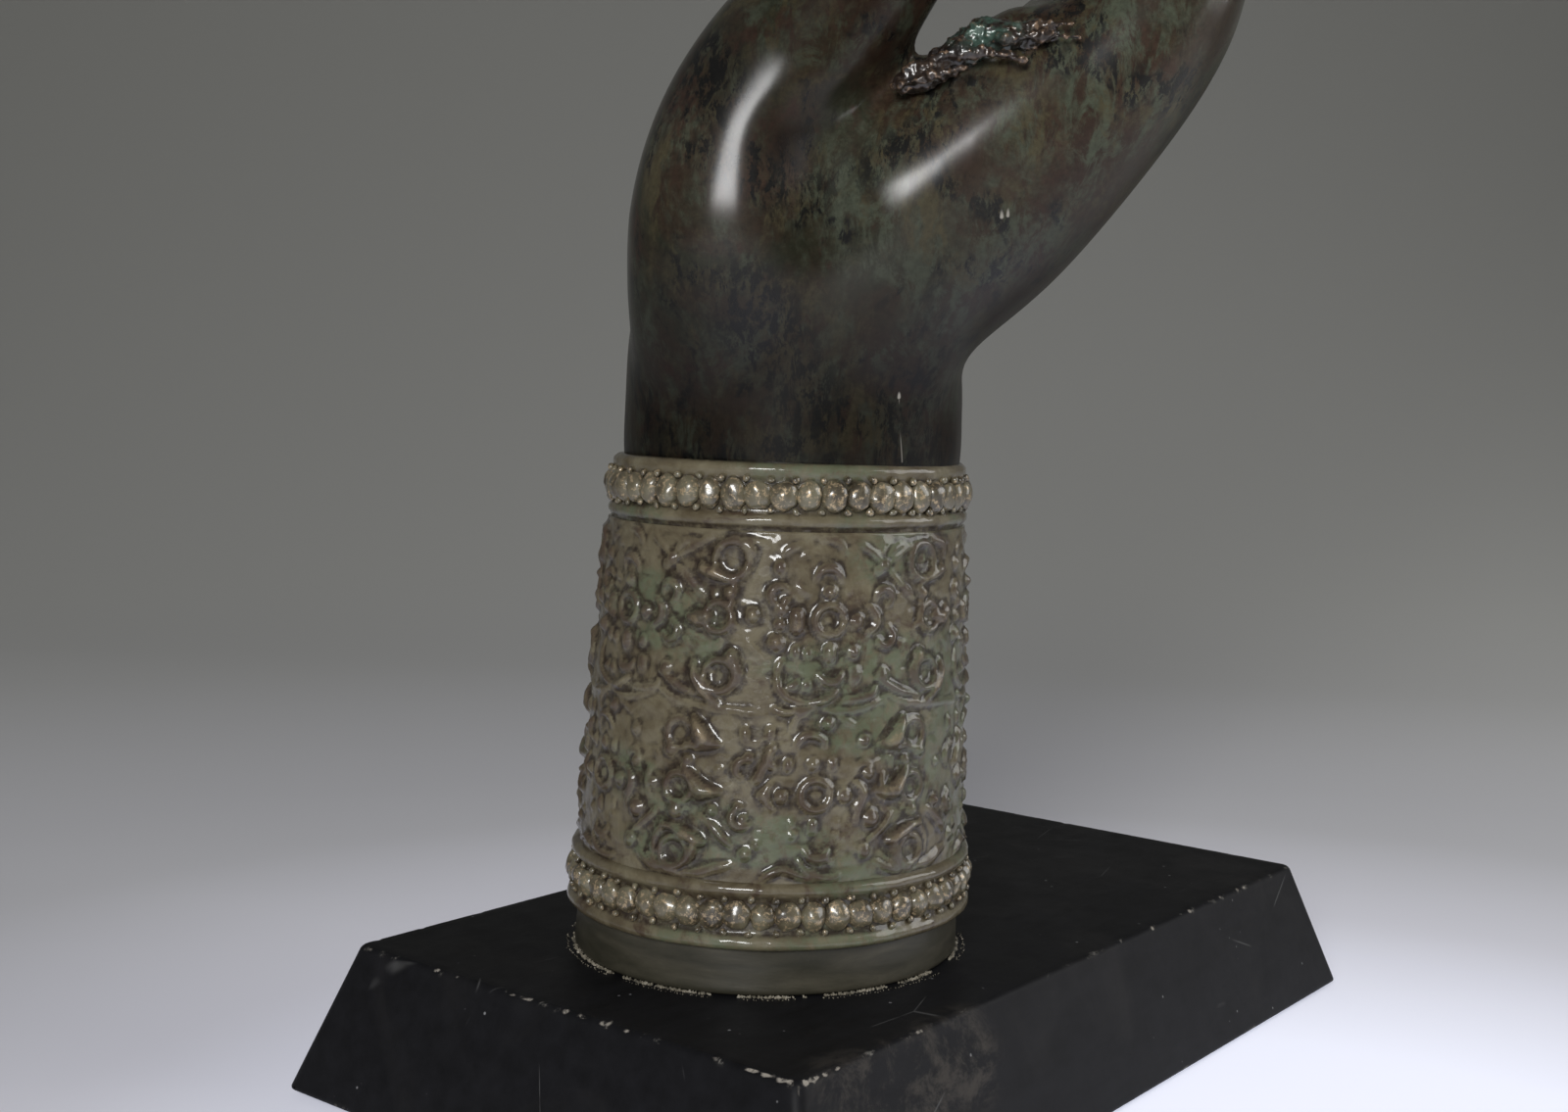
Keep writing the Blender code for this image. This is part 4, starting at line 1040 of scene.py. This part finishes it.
def beaded_row(name, count, height, radius, size, tall, flat, seed, turn=0.0, subdivisions=3):
    """A row of beads round the sleeve, each a little off its place, size and roundness."""
    given, settings = new_row(name, (
        ("Count", "Int", count), ("Row height", "Float", (height + cuff_foot) * MM),
        ("Row radius", "Float", radius * MM), ("Bead radius", "Float", size * MM),
        ("Tallness", "Float", tall), ("Proudness", "Float", flat), ("Unevenness", "Float", 0.12 * MM),
        ("Finish", "Material", bead_finish),
    ))
    circle = node("GeometryNodeMeshCircle", {"Vertices": given["Count"], "Radius": given["Row radius"]})
    spot = node("ShaderNodeCombineXYZ", {"Z": given["Row height"]})
    fed = {"Geometry": circle, "Translation": spot, "Rotation": (0.0, 0.0, facing + turn)}
    raised = node("GeometryNodeTransform", fed)
    wobble = scaled(random_way((-1.0, -1.0, -1.0), (1.0, 1.0, 1.0), seed), given["Unevenness"])
    spots = node("GeometryNodeSetPosition", {"Geometry": raised, "Offset": wobble})
    bead = node("GeometryNodeMeshIcoSphere", {"Subdivisions": subdivisions, "Radius": given["Bead radius"]})
    position = node("GeometryNodeInputPosition")
    apart = node("ShaderNodeSeparateXYZ", {0: position}).outputs
    bearing = node("ShaderNodeMath", {0: apart["Y"], 1: apart["X"]}, operation="ARCTAN2")
    form = node("ShaderNodeCombineXYZ", {"X": given["Proudness"], "Y": 1.0, "Z": given["Tallness"]})
    swell = random_way((0.90, 0.90, 0.92), (1.10, 1.10, 1.08), seed + 1)
    grown = node("ShaderNodeVectorMath", {0: swell, 1: form}, operation="MULTIPLY")
    beads = planted(spots, bead, node("ShaderNodeCombineXYZ", {"Z": bearing}), grown)
    dent = node("ShaderNodeTexNoise", {"Scale": 420.0, "Vector": position}).outputs["Color"]
    centred = node("ShaderNodeVectorMath", {0: dent, 1: (0.5, 0.5, 0.5)}, operation="SUBTRACT")
    dented = node("GeometryNodeSetPosition", {"Geometry": beads, "Offset": scaled(centred, 1.2 * MM)})
    made = row_piece(name, dented, given["Finish"], settings, cuff_lean * height / cuff_height)
    of_the_casting(shade_smooth(made), bead_finish)


bead_finish, tree, shader = new_finish("rubbed_beads")
place = object_point()
tone = noise(place, 190.0, 5.0, 0.65, 0.5, 2.0)
colour = ramp(tone, [
    (0.38, (0.040, 0.032, 0.020)), (0.50, (0.094, 0.080, 0.050)), (0.64, (0.128, 0.117, 0.077)),
])
gold = times(mask(noise(place, 1150.0, 5.0, 0.75, 0.3, 8.0), 0.52, 0.60), 0.85)
onto("Base Color", blend(colour, (0.420, 0.320, 0.200), gold))
onto("Metallic", times(gold, 0.5))
all_over({"Roughness": 0.34, "Coat Weight": 0.7, "Coat Roughness": 0.09})
bump(noise(place, 1300.0, 5.0, 0.6, 0.2, 31.0), 0.10, 0.6)
beaded_row("upper_beads", 47, 80.7, 31.0, 2.25, 1.14, 0.72, 3)
beaded_row("upper_small_beads_above", 47, 83.3, 31.3, 0.62, 1.0, 0.9, 5, math.pi / 47, 2)
beaded_row("upper_small_beads_below", 47, 78.3, 31.4, 0.62, 1.0, 0.9, 7, math.pi / 47, 2)
beaded_row("lower_beads", 53, 13.2, 34.7, 2.25, 1.1, 0.72, 9)
beaded_row("lower_small_beads_above", 53, 15.9, 35.1, 0.62, 1.0, 0.9, 11, math.pi / 53, 2)
beaded_row("lower_small_beads_below", 53, 10.6, 35.4, 0.62, 1.0, 0.9, 13, math.pi / 53, 2)


# The plain foot under the cuff: part of the casting, turned smooth, painted dark olive and set back under the
# lower lip. It stands on the plinth.
foot_heights = np.arange(0.0, 8.3, 0.4)
foot_turn = np.linspace(-math.pi, math.pi, 360, endpoint=False) * sleeve_radius
foot_rng = np.random.default_rng(31)
foot_radii = np.interp(foot_heights, [0.0, 0.5, 7.2, 8.4], [34.0, 34.3, 33.9, 33.9])[:, None]
foot_radii = foot_radii + wandering(foot_rng, foot_turn, foot_heights, 8.0, 3.0, girth, 9.0) * 0.08
cuff_foot_ring = sleeve_piece("cuff_foot", foot_heights, foot_radii)
foot_finish, tree, shader = new_finish("olive_paint")
strokes = noise(stretched(object_point(), (1.0, 1.0, 5.0)), 60.0, 6.0, 0.65, 0.5, 3.0)
onto("Base Color", ramp(strokes, [
    (0.35, (0.022, 0.021, 0.014)), (0.52, (0.036, 0.033, 0.023)), (0.68, (0.054, 0.049, 0.035)),
]))
all_over({"Roughness": 0.42, "Specular IOR Level": 0.25, "Coat Weight": 0.2, "Coat Roughness": 0.2})
bump(strokes, 0.15, 0.5)
of_the_casting(cuff_foot_ring, foot_finish)


# The plinth: a wooden block with sloping sides, its arrises eased by hand, painted satin black and chipped
# pale along its edges. The casting is screwed to it from beneath.
plinth_length, plinth_width, plinth_height = 175.0, 96.4, 25.5
plinth_slope, plinth_bottom = 8.45, 1.5
corner_radius, arris_radius = 2.2, 0.8
plinth_shape = bmesh.new()
half_length, half_width, end_cell = 0.5 * plinth_length, 0.5 * plinth_width, 2.4
across_x = np.concatenate([
    [-half_length], np.linspace(end_cell - half_length, half_length - end_cell, 171), [half_length],
])
across_y = np.concatenate([
    [-half_width], np.linspace(end_cell - half_width, half_width - end_cell, 93), [half_width],
])
up_z = np.concatenate([[0.0], np.linspace(1.2, plinth_height - 1.2, 22), [plinth_height]])
seats = {}


def plinth_vert(x, y, z):
    key = (round(float(x), 4), round(float(y), 4), round(float(z), 4))
    if key not in seats:
        spread_x = 1.0 + plinth_slope / half_length * (1.0 - z / plinth_height)
        spread_y = 1.0 + plinth_slope / half_width * (1.0 - z / plinth_height)
        seats[key] = plinth_shape.verts.new((x * spread_x * MM, y * spread_y * MM, (z + plinth_bottom) * MM))
    return seats[key]


def grid_side(first, second, point, flip):
    for i in range(len(first) - 1):
        for j in range(len(second) - 1):
            quad = [point(first[i], second[j]), point(first[i + 1], second[j])]
            quad += [point(first[i + 1], second[j + 1]), point(first[i], second[j + 1])]
            plinth_shape.faces.new(quad[::-1] if flip else quad)


for top in (0.0, plinth_height):
    grid_side(across_x, across_y, lambda x, y: plinth_vert(x, y, top), top == 0.0)
for end in (-1.0, 1.0):
    grid_side(across_x, up_z, lambda x, z: plinth_vert(x, end * half_width, z), end > 0)
    grid_side(across_y, up_z, lambda y, z: plinth_vert(end * half_length, y, z), end < 0)


def on_two_sides(edge):
    """Whether an edge of the grid lies on an arris, between two sides of the block."""
    first, second = edge.link_faces
    return first.normal.dot(second.normal) < 0.9


plinth_shape.normal_update()
uprights = [
    e for e in plinth_shape.edges
    if on_two_sides(e) and abs(e.verts[0].co.z - e.verts[1].co.z) > 0.2 * MM
]
bmesh.ops.bevel(
    plinth_shape, geom=uprights, offset=corner_radius * MM, segments=6, affect="EDGES", profile=0.5,
)
plinth_shape.normal_update()
rim_heights = (plinth_bottom * MM, (plinth_bottom + plinth_height) * MM)
rims = [
    e for e in plinth_shape.edges
    if on_two_sides(e) and any(all(abs(v.co.z - z) < 1e-6 for v in e.verts) for z in rim_heights)
]
bmesh.ops.bevel(plinth_shape, geom=rims, offset=arris_radius * MM, segments=5, affect="EDGES", profile=0.5)
painted_plinth = piece_from("painted_plinth", plinth_shape)

# Its knocks: small bites out of the arrises, most of them along the top, and the worn near corner.
count = len(painted_plinth.data.vertices)
points = np.empty(count * 3, dtype=np.float32)
painted_plinth.data.vertices.foreach_get("co", points)
points = points.reshape(-1, 3) / MM
rise = (points[:, 2] - plinth_bottom) / plinth_height
half_x = half_length + plinth_slope * (1.0 - rise)
half_y = half_width + plinth_slope * (1.0 - rise)
from_end, from_side = half_x - np.abs(points[:, 0]), half_y - np.abs(points[:, 1])
from_bottom = points[:, 2] - plinth_bottom
from_top = points[:, 2] * -1.0 + plinth_bottom + plinth_height
depths = np.sort(np.stack([from_end, from_side, from_top, from_bottom], 0), axis=0)
near_arris = depths[1]
chip_rng = np.random.default_rng(17)
chip_depth = np.zeros(count)
plinth_top = plinth_bottom + plinth_height
near_corner = np.array([-half_length, -half_width, plinth_top])
bites = []
for _ in range(64):
    side = chip_rng.integers(0, 4)
    along_it = chip_rng.uniform(-0.5, 0.5)
    if side < 2:
        spot = (along_it * plinth_length, (side - 0.5) * plinth_width, plinth_top)
    else:
        spot = ((side - 2.5) * plinth_length, along_it * plinth_width, plinth_top)
    bites.append((spot, chip_rng.uniform(0.4, 0.9), chip_rng.uniform(0.1, 0.32)))
for step in range(7):
    bites.append((tuple(near_corner + (0.3 + 1.5 * step, 0.1, -0.2)), 0.62 - 0.04 * step, 0.3))
    bites.append((tuple(near_corner + (0.1, 0.3 + 1.5 * step, -0.2)), 0.62 - 0.04 * step, 0.3))
    bites.append((tuple(near_corner + (-0.4 * step, -0.4 * step, -1.2 * step)), 0.7 - 0.04 * step, 0.3))
for spot, wide, deep in bites:
    gap = np.linalg.norm((points - spot) / (wide, wide, wide), axis=1)
    ragged = 1.0 + 0.35 * np.sin(points[:, 0] * 3.1 + points[:, 1] * 2.3) * np.cos(points[:, 2] * 4.1)
    chip_depth = np.maximum(chip_depth, deep * np.clip(1.25 - gap * ragged, 0.0, 1.0))
wander_along = 0.5 * np.sin(points[:, 0] * 0.9 + 1.0) * np.sin(points[:, 1] * 0.83 + 2.0)
wander_along += 0.5 * np.sin(points[:, 0] * 2.3 + points[:, 1] * 2.1)
edge_wear = np.clip(1.0 - near_arris / 0.9, 0.0, 1.0) * (0.5 + 0.5 * wander_along)
normals = np.empty(count * 3, dtype=np.float32)
painted_plinth.data.vertices.foreach_get("normal", normals)
normals = normals.reshape(-1, 3)
worn_away = chip_depth * np.clip(1.0 - near_arris / 2.4, 0.0, 1.0) + 0.06 * edge_wear
points = points - normals * worn_away[:, None]
points[:, 2] = np.clip(points[:, 2], plinth_bottom, plinth_bottom + plinth_height)
painted_plinth.data.vertices.foreach_set("co", (points * MM).astype(np.float32).ravel())
painted_plinth.data.update()
shade_smooth(painted_plinth)
mark(painted_plinth, "chipped", np.clip(chip_depth / 0.22, 0.0, 1.0))
mark(painted_plinth, "arris", np.clip(1.0 - near_arris / 0.8, 0.0, 1.0))

black_paint, tree, shader = new_finish("worn_black_paint")
place = object_point()
brush = noise(stretched(place, (0.25, 1.0, 1.0), (0.0, 0.0, 0.05)), 260.0, 6.0, 0.6, 0.2, 3.0)
colour = ramp(brush, [(0.3, (0.0052, 0.0052, 0.0058)), (0.7, (0.0094, 0.0095, 0.0110))])
haze = mask(noise(place, 30.0, 5.0, 0.6, 0.8, 5.0), 0.50, 0.72)
colour = blend(colour, (0.024, 0.023, 0.023), times(haze, 0.35))
scuffed = streak(place, near_corner + (10.0, -2.0, -6.0), near_corner + (42.0, -2.5, -7.0), 11.0)
scuffs = mask(noise(stretched(place, (0.5, 1.0, 0.5)), 210.0, 7.0, 0.75, 0.5, 8.0), 0.44, 0.62)
colour = blend(colour, (0.052, 0.046, 0.040), times(times(scuffed, scuffs), 0.75))
arris = node("ShaderNodeAttribute", attribute_name="arris").outputs["Fac"]
rubbed = times(arris, mask(noise(place, 240.0, 6.0, 0.72, 0.6, 11.0), 0.56, 0.66))
colour = blend(colour, (0.40, 0.38, 0.34), times(rubbed, 0.55))
chipped = node("ShaderNodeAttribute", attribute_name="chipped").outputs["Fac"]
bare = times(mask(chipped, 0.25, 0.7), mask(noise(place, 700.0, 5.0, 0.7, 0.4, 14.0), 0.40, 0.56))
colour = blend(colour, (0.34, 0.31, 0.27), times(bare, 0.8))
specks = node("ShaderNodeTexVoronoi", {"Scale": 330.0, "Vector": place})
sparse = mask(noise(place, 190.0, 3.0, 0.6, 0.0, 19.0), 0.55, 0.62)
dust = times(mask(specks.outputs["Distance"], 0.11, 0.05), sparse)
colour = blend(colour, (0.32, 0.32, 0.33), times(dust, 0.55))
slanting = stretched(place, (1.0, 2.6, 1.0), (0.0, 0.0, 0.7))
scratches = node("ShaderNodeTexVoronoi", {"Scale": 22.0, "Vector": slanting}, feature="DISTANCE_TO_EDGE")
broken = mask(noise(place, 45.0, 3.0, 0.6, 0.0, 23.0), 0.56, 0.64)
scratched = times(mask(scratches.outputs["Distance"], 0.006, 0.001), broken)
onto("Base Color", blend(colour, (0.10, 0.10, 0.10), times(scratched, 0.5)))
onto("Roughness", varied(noise(place, 120.0, 6.0, 0.7, 0.4, 27.0), 0.38, 0.62))
all_over({"Specular IOR Level": 0.10})
bump(brush, 0.10, 0.5)
painted_plinth.data.materials.append(black_paint)
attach(painted_plinth, "root")
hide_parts("plinth")


# The line of glue where the foot meets the plinth: squeezed out when the casting was set down, now dry, pale,
# broken and crumbling.
glue, tree, shader = new_finish("dry_glue")
tone = noise(object_point(), 500.0, 4.0, 0.6, 0.0, 2.0)
onto("Base Color", ramp(tone, [
    (0.38, (0.045, 0.040, 0.028)), (0.52, (0.180, 0.160, 0.120)), (0.66, (0.330, 0.305, 0.250)),
]))
all_over({"Roughness": 0.6})


def broken_line(name, radius, thick, crumbs, seed):
    """A thin ragged line of crumbs round the foot, missing here and there."""
    given, settings = new_row(name, (
        ("Radius", "Float", radius * MM), ("Height", "Float", (plinth_top + 0.05) * MM),
        ("Thickness", "Float", thick * MM), ("Crumbs", "Int", crumbs), ("Gaps", "Float", 0.46),
        ("Scatter", "Float", 0.28 * MM), ("Finish", "Material", glue),
    ))
    circle = node("GeometryNodeMeshCircle", {"Vertices": given["Crumbs"], "Radius": given["Radius"]})
    fed = {"Scale": 95.0, "Detail": 3.0, "Vector": node("GeometryNodeInputPosition")}
    patchy = node("ShaderNodeTexNoise", fed).outputs["Fac"]
    fed = {0: patchy, 1: given["Gaps"]}
    missing = node("FunctionNodeCompare", fed, data_type="FLOAT", operation="LESS_THAN")
    kept = node("GeometryNodeDeleteGeometry", {"Geometry": circle, "Selection": missing}, domain="POINT")
    wobble = scaled(random_way((-1.0, -1.0, 0.0), (1.0, 1.0, 0.4), seed), given["Scatter"])
    moved = node("GeometryNodeSetPosition", {"Geometry": kept, "Offset": wobble})
    lift = node("ShaderNodeCombineXYZ", {"Z": given["Height"]})
    lifted = node("GeometryNodeTransform", {"Geometry": moved, "Translation": lift})
    crumb = node("GeometryNodeMeshIcoSphere", {"Subdivisions": 1, "Radius": given["Thickness"]})
    spin = random_way((0.0, 0.0, 0.0), (6.0, 6.0, 6.0), seed + 1)
    size = random_way((0.45, 0.45, 0.35), (1.5, 1.3, 0.9), seed + 2)
    made = row_piece(name, planted(lifted, crumb, spin, size), given["Finish"], settings, 0.0)
    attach(made, "root")


broken_line("glue_line", 34.3, 0.30, 1100, 3)
broken_line("glue_crumbs", 35.6, 0.13, 320, 9)


# Beneath: a zinc-plated screw and washer up inside the counterbore, which hold the casting down, and a thin
# sheet of black felt stuck over them.
zinc, tree, shader = new_finish("zinc_plate")
place = object_point()
grey = noise(place, 320.0, 5.0, 0.6, 0.4, 2.0)
onto("Base Color", ramp(grey, [(0.3, (0.42, 0.42, 0.41)), (0.7, (0.62, 0.62, 0.60))]))
all_over({"Metallic": 1.0, "Roughness": 0.34})
bump(noise(stretched(place, (1.0, 1.0, 8.0)), 700.0, 3.0, 0.6, 0.0, 5.0), 0.03, 0.5)
felt, tree, shader = new_finish("black_felt")
fluff = noise(object_point(), 1500.0, 5.0, 0.7, 0.8, 2.0)
onto("Base Color", ramp(fluff, [(0.3, (0.012, 0.012, 0.013)), (0.7, (0.045, 0.045, 0.048))]))
all_over({"Roughness": 0.95, "Sheen Weight": 0.3})
bump(fluff, 0.3, 0.8)
for name, finish in (("fixing_screw", zinc), ("screw_washer", zinc), ("felt_sheet", felt)):
    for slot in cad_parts[name].material_slots:
        slot.material = finish


# Soft studio light: a low box to the left of the camera, which the bronze shows, a higher one above it,
# which only throws the shadow, a broad one to the right, and a dim grey room.
def soft_box(name, place, target, width, height, power):
    data = bpy.data.lights.new(name, "AREA")
    data.shape = "RECTANGLE"
    data.size = width * MM
    data.size_y = height * MM
    data.energy = power
    lamp = bpy.data.objects.new(name, data)
    lamp.location = Vector(place) * MM
    lamp.rotation_euler = (Vector(target) - Vector(place)).to_track_quat("-Z", "Y").to_euler()
    scene.collection.objects.link(lamp)
    return lamp


soft_box("low_key", (-862.0, -440.0, 352.0), (-34.0, 0.0, 150.0), 330.0, 240.0, 6.0)
high_key = soft_box("high_key", (-830.0, -397.0, 500.0), (-34.0, 0.0, 130.0), 260.0, 240.0, 2.5)
high_key.visible_glossy = False
soft_box("side", (480.0, -720.0, 420.0), (20.0, -20.0, 60.0), 700.0, 620.0, 4.4)
world = bpy.data.worlds.new("studio")
scene.world = world
world.use_nodes = True
room = world.node_tree.nodes["Background"].inputs
room["Color"].default_value = (0.5, 0.5, 0.5, 1.0)
room["Strength"].default_value = 0.21
